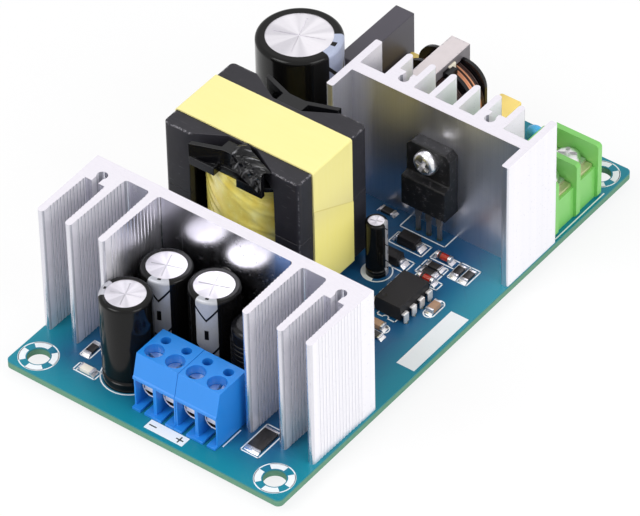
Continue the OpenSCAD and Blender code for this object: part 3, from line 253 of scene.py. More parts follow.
def makeStage(setup):
    scene = bpy.context.scene
    scene.view_settings.view_transform = "Standard"
    scene.world = bpy.data.worlds.new("whiteSurround")
    sky = Tree(scene.world)
    level = seenDirectly(sky) * (1 - setup["ambient"]) + setup["ambient"]
    light = sky.add("ShaderNodeBackground", {}, {"Color": setup["surround"], "Strength": level})
    sky.add("ShaderNodeOutputWorld", {}, {"Surface": light})

    bm = bmesh.new()
    bmesh.ops.create_grid(bm, x_segments=1, y_segments=1, size=setup["floorSize"] / 2)
    bmesh.ops.translate(bm, verts=bm.verts, vec=(0, 0, cadLow.z - setup["floorGap"]))
    mesh = bpy.data.meshes.new("paleFloor")
    bm.to_mesh(mesh)
    bm.free()
    floor = bpy.data.objects.new("paleFloor", mesh)
    scene.collection.objects.link(floor)
    paint = Paint("paleFloor")
    lit = paint.add("ShaderNodeBsdfDiffuse", {}, {"Color": setup["floorColour"]})
    glow = paint.add("ShaderNodeEmission", {}, {"Color": setup["surround"], "Strength": 1.0})
    share = seenDirectly(paint) * setup["floorGlow"]
    both = paint.add("ShaderNodeMixShader", {}, {0: share, 1: lit, 2: glow})
    paint.add("ShaderNodeOutputMaterial", {}, {"Surface": both})
    mesh.materials.append(paint.block)

    for name, lamp in setup["lamps"].items():
        data = bpy.data.lights.new(name, "AREA")
        data.shape = "SQUARE"
        data.size = lamp["size"]
        data.energy = lamp["power"]
        spot = bpy.data.objects.new(name, data)
        scene.collection.objects.link(spot)
        spot.location = lamp["at"]
        spot.rotation_euler = (-Vector(lamp["at"])).to_track_quat("-Z", "Y").to_euler()


makeStage(studio)
print("stage set")


# finishes: pairs of colours run from dark to light
boardFinish = {
    "mask": ((0.010, 0.058, 0.165), (0.016, 0.094, 0.225)), "overCopper": (0.006, 0.17, 0.33),
    # edge: painted light, a brighter teal toward the board's edges, away from the shade cast by the parts
    "edge": (0.005, 0.25, 0.33), "edgeLightReach": 12.0,
    "glass": ((0.07, 0.21, 0.14), (0.19, 0.36, 0.24)), "rim": (0.03, 0.22, 0.24), "rimDepth": (0.5, 0.1),
    "copperScale": 0.11, "copperShift": (3.1, 0.7, 0), "copperGap": (0.02, 0.045),
    "copperShare": 0.22, "edgeLightShare": 0.85, "rimShare": 0.85,
}


def solderMask(setup):
    p = Paint("solderMask")
    high = boxOf("circuit_board")[1]
    side = 1 - p.step(abs(p.nz), 0.4, 0.7)
    inward = (high.x - abs(p.x)) & (high.y - abs(p.y))   # distance from the nearest edge
    tone = p.noise(0.05, 3.0)
    turned = p.stretch((setup["copperScale"],) * 3, (0, 0, 45), setup["copperShift"])
    areas = p.squares("F1", turned)
    gap = p.step(p.squares("F2", turned) - areas, *setup["copperGap"])
    copper = areas.out("Color") * gap   # one grey for each area
    mask = p.mix(tone, *setup["mask"])
    mask = p.mix(copper * setup["copperShare"], mask, setup["overCopper"])
    # painted light: the mask turns brighter teal toward the board's edges, standing in for the parts' shade
    # falling inland
    near = 1 - p.step(inward, 0.0, setup["edgeLightReach"])
    mask = p.mix(near * setup["edgeLightShare"], mask, setup["edge"])
    layers = p.noise(2.2, 3.0, at=p.stretch((0.25, 0.25, 4.0)))
    glass = p.mix(layers, *setup["glass"])
    rim = p.step(p.z, *(boardTop - depth for depth in setup["rimDepth"]))
    glass = p.mix(rim * setup["rimShare"], glass, setup["rim"])
    grain = p.noise(9.0, 2.0)
    return p.surface({
        "Base Color": p.mix(side, mask, glass),
        "Roughness": p.blend(side, 0.3 + tone * 0.1, 0.75),
        "Normal": p.bump(grain * 0.4 + gap, 0.1, 0.03),
        "Specular IOR Level": 0.3,
    })


aluminium = {
    "wall": ((0.66, 0.66, 0.72), (0.86, 0.85, 0.91)), "flank": ((0.88, 0.87, 0.92), (0.95, 0.93, 0.98)),
    "sawn": ((0.74, 0.71, 0.78), (0.87, 0.84, 0.90)),
    # groove: painted shade in the grooves of the plates and fins
    "groove": (0.27, 0.28, 0.33), "speck": (0.45, 0.45, 0.52), "pit": (0.52, 0.50, 0.56),
    "endFace": (31.0, 31.4),   # past this on either side a face is an end of the heatsink
    "bayMargin": 0.5, "bayCut": 0.1, "bayFade": 5.0,
    "finishes": {   # bay: left, right, front and rear of the polished part
        "polishedExtrusion": {"polish": 0.17, "metal": 1.0, "bay": (-16.1, 15.7, -44.0, -29.0)},
        "brushedExtrusion": {"polish": 0.24, "metal": 0.95, "bay": (-8.7, 30.8, 8.0, 22.6)},
    },
}


def extruded(name, setup):
    p = Paint(name)
    finish = setup["finishes"][name]
    left, right, front, rear = finish["bay"]
    reach = (right - left) / 2 + setup["bayMargin"]
    inside = 1 - p.step(abs(p.x - (left + right) / 2), reach, reach + setup["bayCut"])
    inside = inside * p.step(p.y, front, front + setup["bayFade"])
    inside = inside * (1 - p.step(p.y, rear, rear + setup["bayCut"]))
    sawn = p.step(abs(p.nz), 0.55, 0.8)
    side = p.step(abs(p.nx), 0.5, 0.8)
    flank = side * (1 - inside)   # faces of plates and fins outside the polished bay
    drawn = p.noise(1.0, 3.0, 0.6, p.stretch((7.0, 7.0, 0.05)))
    bands = p.noise(1.0, 2.0, 0.5, p.stretch((1.5, 1.5, 0.015)))
    broad = p.noise(1.0, 2.0, 0.5, p.stretch((0.5, 0.5, 0.02)))
    specks = p.step(p.noise(2.6, 2.0), 0.66, 0.74)
    marks = p.noise(1.0, 2.0, 0.6, p.stretch((0.7, 11.0, 1.0), (0, 0, 24)))
    pits = p.step(p.noise(3.4, 3.0, 0.7), 0.62, 0.7)
    scuffs = p.step(p.noise(0.5, 4.0, 0.7), 0.6, 0.72)
    wall = p.mix(drawn, *setup["wall"])
    wall = p.mix(flank, wall, p.mix(bands, *setup["flank"]))
    outer = p.step(abs(p.x), *setup["endFace"])   # end faces catch more light in their grooves
    # painted shade: groove slopes on the flanks darkened, less so on the end faces
    groove = flank * p.step(abs(p.ny), 0.1, 0.3) * (1 - outer * 0.6)
    wall = p.mix(groove * 0.75, wall, setup["groove"])
    wall = p.mix(specks * 0.4, wall, setup["speck"])
    top = p.mix(marks, *setup["sawn"])
    top = p.mix(pits * 0.35, top, setup["pit"])
    polished = finish["polish"] + broad * 0.14 + scuffs * 0.12 + side * 0.1
    rough = p.blend(flank, polished, 0.3 + broad * 0.1)
    height = p.blend(sawn, drawn * 0.5 * (1 - flank), marks * 0.6 - pits * 0.8)
    return p.surface({
        "Base Color": p.mix(sawn, wall, top),
        "Metallic": p.blend(sawn, p.blend(flank, finish["metal"] - side * 0.06, 0.38), 0.3),
        "Roughness": p.blend(sawn, rough, 0.5 + marks * 0.1),
        "Normal": p.bump(height + specks * 0.4, 0.22, 0.03),
    })


canFinish = {
    # scoreShade: painted shade for the score grooves
    "face": ((0.58, 0.56, 0.61), (0.92, 0.89, 0.94)), "scoreShade": (0.40, 0.39, 0.43),
    "scoreTop": (0.1, 0.03), "scoreFoot": (0.7, 0.5),   # depths below the rim
}


def canTop(node, scoreShadeShare=0.45):
    p = Paint(node + "_finish")
    low, high = boxOf(node)
    centre = (low + high) / 2
    arm = p.add("ShaderNodeVectorMath", {"operation": "MULTIPLY_ADD"}, {
        0: p.at, 1: (1, 1, 0), 2: (-centre.x, -centre.y, 0),
    })
    spoke = p.add("ShaderNodeVectorMath", {"operation": "NORMALIZE"}, {0: arm})
    sectorReflection = p.step(p.noise(1.35, 1.0, 0.4, spoke), 0.38, 0.62)   # painted reflection: the pressed sectors between the score lines drawn in lighter and darker tones
    swirl = p.noise(1.0, 3.0, 0.6, p.stretch((1.2, 6.0, 1.0)))
    underTop, overFoot = (
        p.step(p.z, *(high.z - depth for depth in canFinish[k])) for k in ("scoreTop", "scoreFoot")
    )
    # painted shade: the score grooves below the rim are darkened
    scoreShade = (1 - underTop) * overFoot
    face = p.mix(sectorReflection * 0.65 + swirl * 0.35, *canFinish["face"])
    return p.surface({
        "Base Color": p.mix(scoreShade * scoreShadeShare, face, canFinish["scoreShade"]),
        "Metallic": 0.6,
        "Roughness": 0.32 + swirl * 0.12,
        "Normal": p.bump(swirl, 0.08, 0.05),
    })


def tinned(name="tinnedMetal", colour=(0.80, 0.79, 0.82), rough=0.28, sheen=1.0):
    p = Paint(name)
    spots = p.noise(2.5, 3.0)
    return p.surface({
        "Base Color": p.mix(spots, tuple(c * 0.82 for c in colour), colour),
        "Metallic": sheen,
        "Roughness": rough + spots * 0.16,
        "Normal": p.bump(spots, 0.2, 0.04),
    })


# inside: painted shade, the cage faces that don't face the front are drawn near-black as the shaded hollow
cageToneAndShade = {"plate": ((0.84, 0.77, 0.75), (0.98, 0.93, 0.91)), "inside": (0.07, 0.05, 0.04)}


def cagePaint(setup):
    p = Paint("clampCage")
    front = p.step(p.ny * -1, 0.6, 0.9)
    spots = p.noise(2.5, 3.0)
    return p.surface({
        # painted shade: only the front faces keep the plated colour, the rest of the cage is dark
        "Base Color": p.mix(front, setup["inside"], p.mix(spots, *setup["plate"])),
        "Metallic": p.blend(front, 0.9, 0.35),
        "Roughness": 0.36 + spots * 0.1,
        "Normal": p.bump(spots, 0.1, 0.03),
    })


ferriteTones = {
    "black": ((0.009, 0.009, 0.012), (0.031, 0.029, 0.037)), "grey": ((0.13, 0.12, 0.13), (0.24, 0.22, 0.24)),
    "ground": (0.74, 0.67, 0.68), "chipped": (0.34, 0.33, 0.36),
}


def ferrite(name, nodes, tone="black", groundTop=False):
    p = Paint(name)
    boxes = [boxOf(node) for node in nodes]
    low = [min(box[0][i] for box in boxes) for i in range(3)]
    high = [max(box[1][i] for box in boxes) for i in range(3)]
    inX, inY, inZ = ((at - a) & (b - at) for at, a, b in zip((p.x, p.y, p.z), low, high))
    corner = (inX & inY) | ((inX | inY) & inZ)   # distance from the nearest edge
    cloud = p.noise(0.35, 4.0, 0.6)
    grain = p.noise(6.0, 3.0, 0.7)
    chips = p.step(p.noise(2.4, 5.0, 0.75), 0.66, 0.70)
    wear = (1 - p.step(corner, 0.15, 0.5)) * p.step(p.noise(1.6, 4.0, 0.7), 0.48, 0.6)
    scratch = p.step(p.noise(1.0, 2.0, 0.5, p.stretch((0.35, 9.0, 2.0), (0, 0, 50))), 0.69, 0.72)
    body = p.mix(cloud * 0.6 + grain * 0.4, *ferriteTones[tone])
    if groundTop:
        body = p.mix(p.step(p.nz, 0.5, 0.8) * (0.75 + cloud * 0.25), body, ferriteTones["ground"])
    marked = (chips * 0.3) | (wear * 0.55) | (scratch * 0.12)
    return p.surface({
        "Base Color": p.mix(marked, body, ferriteTones["chipped"]),
        "Roughness": 0.34 + grain * 0.2,
        "Normal": p.bump(grain * 0.5 + chips, 0.2, 0.05),
        "Specular IOR Level": 0.3,
    })


tapeFinish = {
    # shadedRightFace: painted shade for the tape's right face
    "film": ((0.90, 0.80, 0.30), (0.93, 0.83, 0.34)), "shadedRightFace": (0.90, 0.83, 0.26),
    "lapped": (0.95, 0.84, 0.20), "pulled": (0.98, 0.93, 0.52), "line": (0.55, 0.42, 0.05),
    "lapFront": 0.688, "lapBack": 0.502,   # heights of the lap on the right face, as shares of the band
}


def tapePaint(setup):
    p = Paint("polyesterTape")
    low, high = boxOf("transformer_tape")
    pulled = p.noise(1.0, 3.0, 0.6, p.stretch((0.12, 1.6, 0.12)))
    cloud = p.noise(0.12, 2.0)
    right = p.step(p.nx, 0.5, 0.9)
    tall, deep = high.z - low.z, high.y - low.y
    slant = (setup["lapBack"] - setup["lapFront"]) * tall / deep
    over = p.z - (low.z + setup["lapFront"] * tall) - (p.y - low.y) * slant   # height above the lap
    lap = right * (1 - p.step(over, -0.1, 0.1))
    film = p.mix(cloud, *setup["film"])
    # painted shade: the right face is drawn a deeper yellow than the top
    film = p.mix(right * 0.5, film, setup["shadedRightFace"])
    film = p.mix(lap * 0.7, film, setup["lapped"])
    film = p.mix(pulled * 0.2, film, setup["pulled"])
    line = right * (1 - p.step(abs(over), 0.02, 0.16))
    film = p.mix(line * 0.55, film, setup["line"])
    waves = p.noise(0.3, 2.0)
    return p.surface({
        "Base Color": film,
        "Roughness": 0.32 + pulled * 0.1,
        "Normal": p.bump(waves + pulled * 0.08 + lap * 0.5, 0.16, 0.12),
        "Coat Weight": 0.15,
        "Coat Roughness": 0.15,
    })


# painted shade and highlight: darker yellow in the crease hollows, pale on the ridges, and paler overall to
# make up for the shade in the core window
windingShadeStops = [(0.25, (0.92, 0.70, 0.10)), (0.5, (1.0, 0.86, 0.21)), (0.75, (1.0, 0.95, 0.40))]


def windingFilm(stops):
    p = Paint("windingFilm")
    creases = p.noise(1.0, 3.0, 0.5, p.stretch((0.3, 0.3, 0.2), (0, 30, 0)))
    fine = p.noise(1.2, 3.0)
    return p.surface({
        # painted shade and highlight: the colour follows the crease height
        "Base Color": p.ramp(creases, stops),
        "Roughness": 0.2 + fine * 0.12,
        "Normal": p.bump(creases + fine * 0.1, 0.25, 0.2),
        "Coat Weight": 0.4,
        "Coat Roughness": 0.1,
    })


rubbedGrey = (0.22, 0.21, 0.23)


def moulded(name, colour, rough=0.4, grain=5.0, depth=0.02, lift=1.5, coat=0.0, gloss=0.5, wear=0.0):
    p = Paint(name)
    fine = p.noise(grain, 2.0)
    cloud = p.noise(0.2, 3.0)
    body = p.mix(cloud * 0.5 + fine * 0.25, colour, tuple(min(1.0, c * lift) for c in colour))
    if wear:
        rubbed = p.step(p.noise(0.8, 4.0, 0.7), 0.52, 0.72) * p.step(p.noise(4.0, 3.0, 0.7), 0.42, 0.6)
        body = p.mix(rubbed * wear, body, rubbedGrey)
    return p.surface({
        "Base Color": body,
        "Roughness": rough + fine * 0.1,
        "Normal": p.bump(fine, 0.15, depth),
        "Specular IOR Level": gloss,
        "Coat Weight": coat,
        "Coat Roughness": 0.12,
    })


metal = tinned()
brass = tinned("brassContact", (0.86, 0.76, 0.52), 0.3)
screwSteel = tinned("screwSteel", (0.88, 0.87, 0.88), 0.22)
# painted shade: a darkened copy of the tin for the transistor's leads, which sit in shadow
dullLeads = tinned("dullLeads", (0.42, 0.38, 0.36), 0.4)
brightLeads = tinned("brightLeads", (0.93, 0.90, 0.88), 0.3, 0.55)
cageMetal = cagePaint(cageToneAndShade)
black = moulded("blackMoulding", (0.004, 0.004, 0.005), 0.16, gloss=0.35)
package = moulded("packageBlack", (0.013, 0.012, 0.013), 0.45, 9.0, 0.04, gloss=0.25)
rubbedPackage = moulded("rubbedPackage", (0.008, 0.008, 0.009), 0.4, 9.0, 0.04, gloss=0.25, wear=0.45)
boxYellow = moulded("boxYellow", (0.95, 0.72, 0.20), 0.3, lift=1.05)
terminalBlue = moulded("terminalBlue", (0.016, 0.225, 0.70), 0.3, lift=1.12)
coreFerrite = ferrite("coreFerrite", ("transformer_core_upper", "transformer_core_lower"))
chokeFerrite = ferrite("chokeFerrite", ("choke_core",), "grey", groundTop=True)
print("materials written")


# mesh helpers: weld in millimetres, angles in degrees
meshLimits = {"weld": 0.001, "flat": 0.4, "sharp": 30, "smooth": 35}


def makePiece(name, bm, material, stands=(), smooth=meshLimits["smooth"]):
    mesh = bpy.data.meshes.new(name)
    bm.to_mesh(mesh)
    bm.free()
    mesh.shade_smooth()
    mesh.set_sharp_from_angle(angle=math.radians(smooth))
    piece = bpy.data.objects.new(name, mesh)
    bpy.context.scene.collection.objects.link(piece)
    mesh.materials.append(material)
    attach(piece, "root")
    if stands:
        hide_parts(*stands)
    return piece


def weld(bm):
    bmesh.ops.remove_doubles(bm, verts=bm.verts, dist=meshLimits["weld"] * mm)


def mergedCopy(node):
    bm = bmesh.new()
    bm.from_mesh(cad[node].data)
    weld(bm)
    flat = math.radians(meshLimits["flat"])
    bmesh.ops.dissolve_limit(bm, angle_limit=flat, verts=bm.verts, edges=bm.edges)
    return bm


def sharpEdges(bm):
    limit = math.radians(meshLimits["sharp"])
    return [e for e in bm.edges if len(e.link_faces) == 2 and e.calc_face_angle(0) > limit]


def edgesOf(verts):
    return list(dict.fromkeys(e for v in verts for e in v.link_edges))


def roundEdges(bm, edges, width, segments=2):
    bmesh.ops.bevel(
        bm, geom=edges, offset=width * mm, offset_type="OFFSET", affect="EDGES", segments=segments,
        profile=0.5, material=-1, clamp_overlap=True,
    )


def softened(node, material, edge=0.0, smooth=meshLimits["smooth"]):
    bm = mergedCopy(node)
    if edge:
        roundEdges(bm, sharpEdges(bm), edge)
    piece = makePiece(node + "_dressed", bm, material, (node,), smooth)
    piece.modifiers.new("flatFaces", "WEIGHTED_NORMAL").keep_sharp = True


# finish, width of the rounded edges, and the smoothing angle where it isn't the usual one
dress = {
    "circuit_board": (solderMask(boardFinish), 0.06),
    "output_heatsink": (extruded("polishedExtrusion", aluminium), 0, 14),
    "primary_heatsink": (extruded("brushedExtrusion", aluminium), 0, 14),
    "heatsink_pins": (metal, 0),
    "transformer_core_upper": (coreFerrite, 0.22),
    "transformer_core_lower": (coreFerrite, 0.22),
    "transformer_bobbin": (black, 0.16),
    "transformer_pins": (metal, 0),
    "bulk_capacitor_can": (canTop("bulk_capacitor_can", 0.05), 0),
    "output_capacitor_can_1": (canTop("output_capacitor_can_1"), 0),
    "output_capacitor_can_2": (canTop("output_capacitor_can_2"), 0),
    "output_capacitor_can_3": (canTop("output_capacitor_can_3"), 0),
    "supply_capacitor_can": (canTop("supply_capacitor_can"), 0),
    "capacitor_leads": (metal, 0),
    "inductor_rod": (ferrite("rodFerrite", ("inductor_rod",)), 0),
    "inductor_sleeve": (moulded("inductorSleeve", (0.005, 0.005, 0.006), 0.2, gloss=0.2), 0),
    "inductor_leads": (metal, 0),
    "transistor_body": (rubbedPackage, 0.1),
    "transistor_leads": (dullLeads, 0),
    "rectifier_body": (package, 0.1),
    "rectifier_leads": (metal, 0),
    "device_screws": (screwSteel, 0.06),
    "bridge_body": (moulded("bridgeEpoxy", (0.05, 0.045, 0.06), 0.35, 4.0), 0.2),
    "bridge_leads": (metal, 0),
    "box_capacitor_1": (boxYellow, 0.25),
    "box_capacitor_2": (boxYellow, 0.25),
    "choke_core": (chokeFerrite, 0.15),
    "choke_bobbin": (black, 0.1),
    "choke_pins": (metal, 0),
    "ac_terminal_housing": (moulded("barrierGreen", (0.20, 0.56, 0.13), 0.3, lift=1.12), 0.2),
    "ac_terminal_screws": (screwSteel, 0.08),
    "ac_terminal_washers": (metal, 0.08),
    "ac_terminal_contacts": (brass, 0.05),
    "dc_terminal_housing_1": (terminalBlue, 0.12),
    "dc_terminal_housing_2": (terminalBlue, 0.12),
    "dc_terminal_screws": (screwSteel, 0.06),
    "dc_terminal_cages": (cageMetal, 0.06),
    "dc_terminal_contacts": (brass, 0),
    "disc_capacitor": (moulded("discBlue", (0.06, 0.44, 0.85), 0.2, lift=1.15), 0),
    "controller_body": (package, 0.08),
    "controller_leads": (brightLeads, 0.03),
    "optocoupler_body": (package, 0.08),
    "optocoupler_leads": (metal, 0.03),
    "fuse_body": (moulded("fuseBody", (0.70, 0.66, 0.52), 0.35, lift=1.1), 0.1),
    "fuse_leads": (metal, 0),
    "solder_joints": (metal, 0),
}
for node, finish in dress.items():
    softened(node, *finish)
print("nodes dressed:", len(dress))


# building blocks in millimetres
def addBox(bm, low, high, edge=0.0):
    low, high = Vector(low), Vector(high)
    made = bmesh.ops.create_cube(bm, size=1)["verts"]
    bmesh.ops.scale(bm, verts=made, vec=(high - low) * mm)
    bmesh.ops.translate(bm, verts=made, vec=(low + high) / 2 * mm)
    if edge:
        roundEdges(bm, edgesOf(made), edge)
    return made


def addTurned(bm, outline, centre, start=0, sweep=360, steps=64, lie=None):
    count = len(bm.verts)
    turn = Matrix.Rotation(math.radians(start), 4, "Z")
    ring = [bm.verts.new(turn @ Vector((r * mm, 0, h * mm))) for r, h in outline]
    if sweep == 360:
        geom = ring + [bm.edges.new(pair) for pair in zip(ring, ring[1:] + ring[:1])]
    else:
        geom = [bm.faces.new(ring)]
    bmesh.ops.spin(
        bm, geom=geom, cent=(0, 0, 0), axis=(0, 0, 1), angle=math.radians(sweep), steps=steps,
        use_merge=sweep == 360,
    )
    bm.verts.ensure_lookup_table()
    made = bm.verts[count:]
    place = Matrix.Translation(Vector(centre) * mm)
    if lie:
        place = place @ Matrix.Rotation(math.radians(90), 4, lie)
    bmesh.ops.transform(bm, matrix=place, verts=made)
    bmesh.ops.recalc_face_normals(bm, faces=list(dict.fromkeys(f for v in made for f in v.link_faces)))


def addLine(bm, first, last, width, base, rise):
    first, last = Vector((*first, 0)), Vector((*last, 0))
    run = last - first
    made = bmesh.ops.create_cube(bm, size=1)["verts"]
    bmesh.ops.scale(bm, verts=made, vec=Vector((run.length + width, width, rise)) * mm)
    middle = (first + last) / 2 + Vector((0, 0, base + rise / 2))
    place = Matrix.Translation(middle * mm) @ Matrix.Rotation(math.atan2(run.y, run.x), 4, "Z")
    bmesh.ops.transform(bm, matrix=place, verts=made)


def looseBoxes(node):   # one box for each separate solid of a node
    bm = mergedCopy(node)
    waiting = set(bm.verts)
    boxes = []
    while waiting:
        group = [waiting.pop()]
        for vert in group:
            near = {e.other_vert(vert) for e in vert.link_edges} & waiting
            waiting -= near
            group.extend(near)
        spots = [v.co / mm for v in group]
        boxes.append([Vector([pick(s[i] for s in spots) for i in range(3)]) for pick in (min, max)])
    bm.free()
    return sorted(boxes, key=lambda box: tuple(box[0]))


# white legend printed on the board
legend = {
    "width": 0.26, "rise": 0.03, "arcStep": 5, "fewestSteps": 6,
    "frames": [   # left, front, right and rear edge
        (6.1, 12.4, 14.0, 15.8), (6.1, 6.8, 14.0, 10.2), (21.3, 10.7, 25.8, 15.6), (5.3, 17.3, 16.0, 21.6),
        (15.3, 10.5, 20.4, 12.55), (15.3, 8.5, 20.4, 10.5), (15.4, 13.25, 21.2, 15.45),
        (16.1, 6.4, 21.9, 8.5), (-20.6, -51.4, -15.4, -49.15), (-22.1, -47.5, -19.75, -42.9),
        (18.2, -50.1, 22.35, -41.8),
    ],
    "lines": [
        ((23.5, 10.7), (23.5, 15.6)), ((15.2, -51.4), (15.2, -46.2)), ((31.9, 31.8), (31.9, 48.1)),
        ((23.5, 0.4), (23.5, 3.4)), ((25.8, 0.4), (25.8, 3.4)), ((17.4, -7.1), (20.2, -7.1)),
        ((17.4, -9.4), (20.2, -9.4)), ((16.6, -5.5), (17.9, -5.5)), ((19.2, -5.5), (20.8, -5.5)),
        ((20.8, -5.5), (20.8, -4.6)), ((16.6, -5.5), (16.6, -4.6)), ((-19.9, -51.2), (-19.9, -49.3)),
        ((32.0, 21.0), (32.0, 22.4)),
    ],
    "arcs": [   # centre, inner and outer radius, first angle, sweep
        ((24.65, 0.4), 1.02, 1.28, 180, 180), ((24.65, 3.4), 1.02, 1.28, 0, 180),
        ((20.2, -8.25), 1.02, 1.28, -90, 180), ((18.55, -5.5), 0.52, 0.78, 0, 180),
    ],
    "round": {   # gap from each sleeve to its ring
        "supply_capacitor_sleeve": 0.7, "output_capacitor_sleeve_1": 0.3, "output_capacitor_sleeve_2": 0.3,
        "output_capacitor_sleeve_3": 0.3, "bulk_capacitor_sleeve": 0.3,
    },
    "filled": {"supply_capacitor_sleeve": (105, 180)},   # ring filled from this angle, over this sweep
    "blocks": [(27.7, -14.3, 31.8, 3.3), (0.0, -56.0, 9.0, -53.5)],
    "ring": {   # round each mounting hole, with four windows
        "x": 28.0, "y": 52.5, "inner": 2.5, "outer": 4.0, "line": 0.24, "overlap": 0.1,
        "firstWindow": 68, "window": 34,
    },
    "marks": {   # minus and plus on the white block
        "lines": [((0.6, -54.8), (2.0, -54.8)), ((6.9, -54.8), (8.3, -54.8)), ((7.6, -55.5), (7.6, -54.1))],
        "width": 0.28, "rise": 0.02,
    },
    "white": ((0.84, 0.88, 0.91), (0.66, 0.76, 0.80)),   # fresh, worn
}


def holeRings(ring):
    arcs = []
    for x in (-ring["x"], ring["x"]):
        for y in (-ring["y"], ring["y"]):
            arcs.append(((x, y), ring["outer"] - ring["line"], ring["outer"], 0, 360))
            for k in range(4):
                start = ring["firstWindow"] + ring["window"] / 2 + 90 * k
                outer = ring["outer"] - ring["overlap"]
                arcs.append(((x, y), ring["inner"], outer, start, 90 - ring["window"]))
    return arcs


def sleeveRings(setup):
    arcs = []
    for node, gap in setup["round"].items():
        low, high = boxOf(node)
        radius = (high.x - low.x) / 2
        middle = (low.x + radius, low.y + radius)
        reach = radius + gap
        arcs.append((middle, reach, reach + setup["width"], 0, 360))
        if node in setup["filled"]:
            arcs.append((middle, reach / 2, reach, *setup["filled"][node]))
    return arcs


def printLegend(setup):
    bm = bmesh.new()
    wide, rise = setup["width"], setup["rise"]
    for x0, y0, x1, y1 in setup["frames"]:
        corners = [(x0, y0), (x1, y0), (x1, y1), (x0, y1)]
        for first, last in zip(corners, corners[1:] + corners[:1]):
            addLine(bm, first, last, wide, boardTop, rise)
    for first, last in setup["lines"]:
        addLine(bm, first, last, wide, boardTop, rise)
    for x0, y0, x1, y1 in setup["blocks"]:
        addBox(bm, (x0, y0, boardTop), (x1, y1, boardTop + rise))
    for centre, inner, outer, start, sweep in setup["arcs"] + sleeveRings(setup) + holeRings(setup["ring"]):
        band = [(inner, 0), (outer, 0), (outer, rise), (inner, rise)]
        steps = max(setup["fewestSteps"], int(sweep / setup["arcStep"]))
        addTurned(bm, band, (*centre, boardTop), start, sweep, steps)
    makePiece("printedLegend", bm, inkPaint(setup["white"]))


def printMarks(setup, base):
    bm = bmesh.new()
    for first, last in setup["lines"]:
        addLine(bm, first, last, setup["width"], base, setup["rise"])
    makePiece("polarityMarks", bm, blackInk)


def inkPaint(whites):
    p = Paint("legendWhite")
    worn = p.noise(2.2, 4.0, 0.7)
    return p.surface({
        "Base Color": p.mix(p.step(worn, 0.58, 0.8), *whites),
        "Roughness": 0.5 + worn * 0.1,
    })


blackInk = moulded("legendBlack", (0.01, 0.02, 0.02), 0.5)
printLegend(legend)
printMarks(legend["marks"], boardTop + legend["rise"])
print("legend printed")


# solder fillet: a block whose outer top edge is pulled down to a toe
filletShape = {"toe": 0.08, "lean": 0.12, "edge": 0.05}


def addFillet(bm, low, high, axis, sign):
    made = addBox(bm, low, high)
    middle = (low + high) / 2 * mm
    for vert in made:
        if vert.co[axis] * sign > middle[axis] * sign and vert.co.z > middle.z:
            vert.co.z = (low.z + filletShape["toe"]) * mm
            vert.co[axis] -= sign * filletShape["lean"] * mm
    roundEdges(bm, edgesOf(made), filletShape["edge"])


# chips with metal ends
chipShape = {
    "edge": 0.06, "bodyInset": 0.1, "bodyShrink": 0.02, "end": 0.5, "endGrow": 0.02,
    "padOver": 0.55, "padGrow": 0.05, "padHeight": 0.38,
}


def chipStretch(low, high, axis, first, last, grow):   # the chip's box from first to last, a little larger
    near, far = low.copy(), high.copy()
    near[axis], far[axis] = sorted((first, last))
    near[1 - axis] -= grow
    far[1 - axis] += grow
    far.z += grow
    return near, far


def makeChips(setup, materials):
    ends, pads = bmesh.new(), bmesh.new()
    for node, material in materials.items():
        body = bmesh.new()
        for low, high in looseBoxes(node):
            axis = 0 if high.x - low.x > high.y - low.y else 1
            first, last = low[axis] + setup["bodyInset"], high[axis] - setup["bodyInset"]
            addBox(body, *chipStretch(low, high, axis, first, last, -setup["bodyShrink"]), setup["edge"])
            for sign, tip in ((-1, low[axis]), (1, high[axis])):
                inner, outer = tip - sign * setup["end"], tip + sign * setup["padOver"]
                addBox(ends, *chipStretch(low, high, axis, tip, inner, setup["endGrow"]), setup["edge"])
                near, far = chipStretch(low, high, axis, tip, outer, setup["padGrow"])
                far.z = near.z + setup["padHeight"]
                addFillet(pads, near, far, axis, sign)
        makePiece(node + "_bodies", body, material, (node,))
    makePiece("chipEnds", ends, metal)
    makePiece("chipSolder", pads, solderBright)


# moulded diodes with flat tabs
diodeShape = {
    "bodyInset": 0.6, "standOff": 0.15, "draftX": 0.07, "draftY": 0.1, "edge": 0.1,
    "tab": 0.75, "tabMargin": 0.5, "tabHeight": 1.25, "tabEdge": 0.12,
    "pad": 0.8, "padGrow": 0.3, "padHeight": 0.7,
}


def makeMouldedDiodes(setup):
    body, tabs, pads = bmesh.new(), bmesh.new(), bmesh.new()
    for low, high in looseBoxes("moulded_diodes"):
        near = (low.x + setup["bodyInset"], low.y, low.z + setup["standOff"])
        made = addBox(body, near, (high.x - setup["bodyInset"], high.y, high.z))
        middle = (low + high) / 2 * mm
        for vert in made:
            if vert.co.z > middle.z:
                vert.co.x += (middle.x - vert.co.x) * setup["draftX"]
                vert.co.y += (middle.y - vert.co.y) * setup["draftY"]
        roundEdges(body, edgesOf(made), setup["edge"])
        y0, y1 = low.y + setup["tabMargin"], high.y - setup["tabMargin"]
        for sign, tip in ((-1, low.x), (1, high.x)):
            x0, x1 = sorted((tip, tip - sign * setup["tab"]))
            addBox(tabs, (x0, y0, low.z), (x1, y1, low.z + setup["tabHeight"]), setup["tabEdge"])
            x0, x1 = sorted((tip, tip + sign * setup["pad"]))
            near = Vector((x0, y0 - setup["padGrow"], low.z))
            far = Vector((x1, y1 + setup["padGrow"], low.z + setup["padHeight"]))
            addFillet(pads, near, far, 0, sign)
    makePiece("diodeBodies", body, package, ("moulded_diodes",))
    makePiece("diodeTabs", tabs, metal)
    makePiece("diodeSolder", pads, solderBright)


# glass diodes: radii as shares of the diode's own, lengths from its tips
glassShape = {
    "steps": 32, "glassInset": 0.3, "neck": 0.9, "belly": 0.95,
    "band": 0.985, "bandFrom": 0.55, "bandTo": 0.3,   # the band's places are shares of the half length
    "cap": [(0, 0), (0.88, 0), (1, 0.1), (1, 0.55), (0.9, 0.62), (0, 0.62)],
    "pad": 0.6, "padUnder": 0.3, "padHeight": 0.6,
}


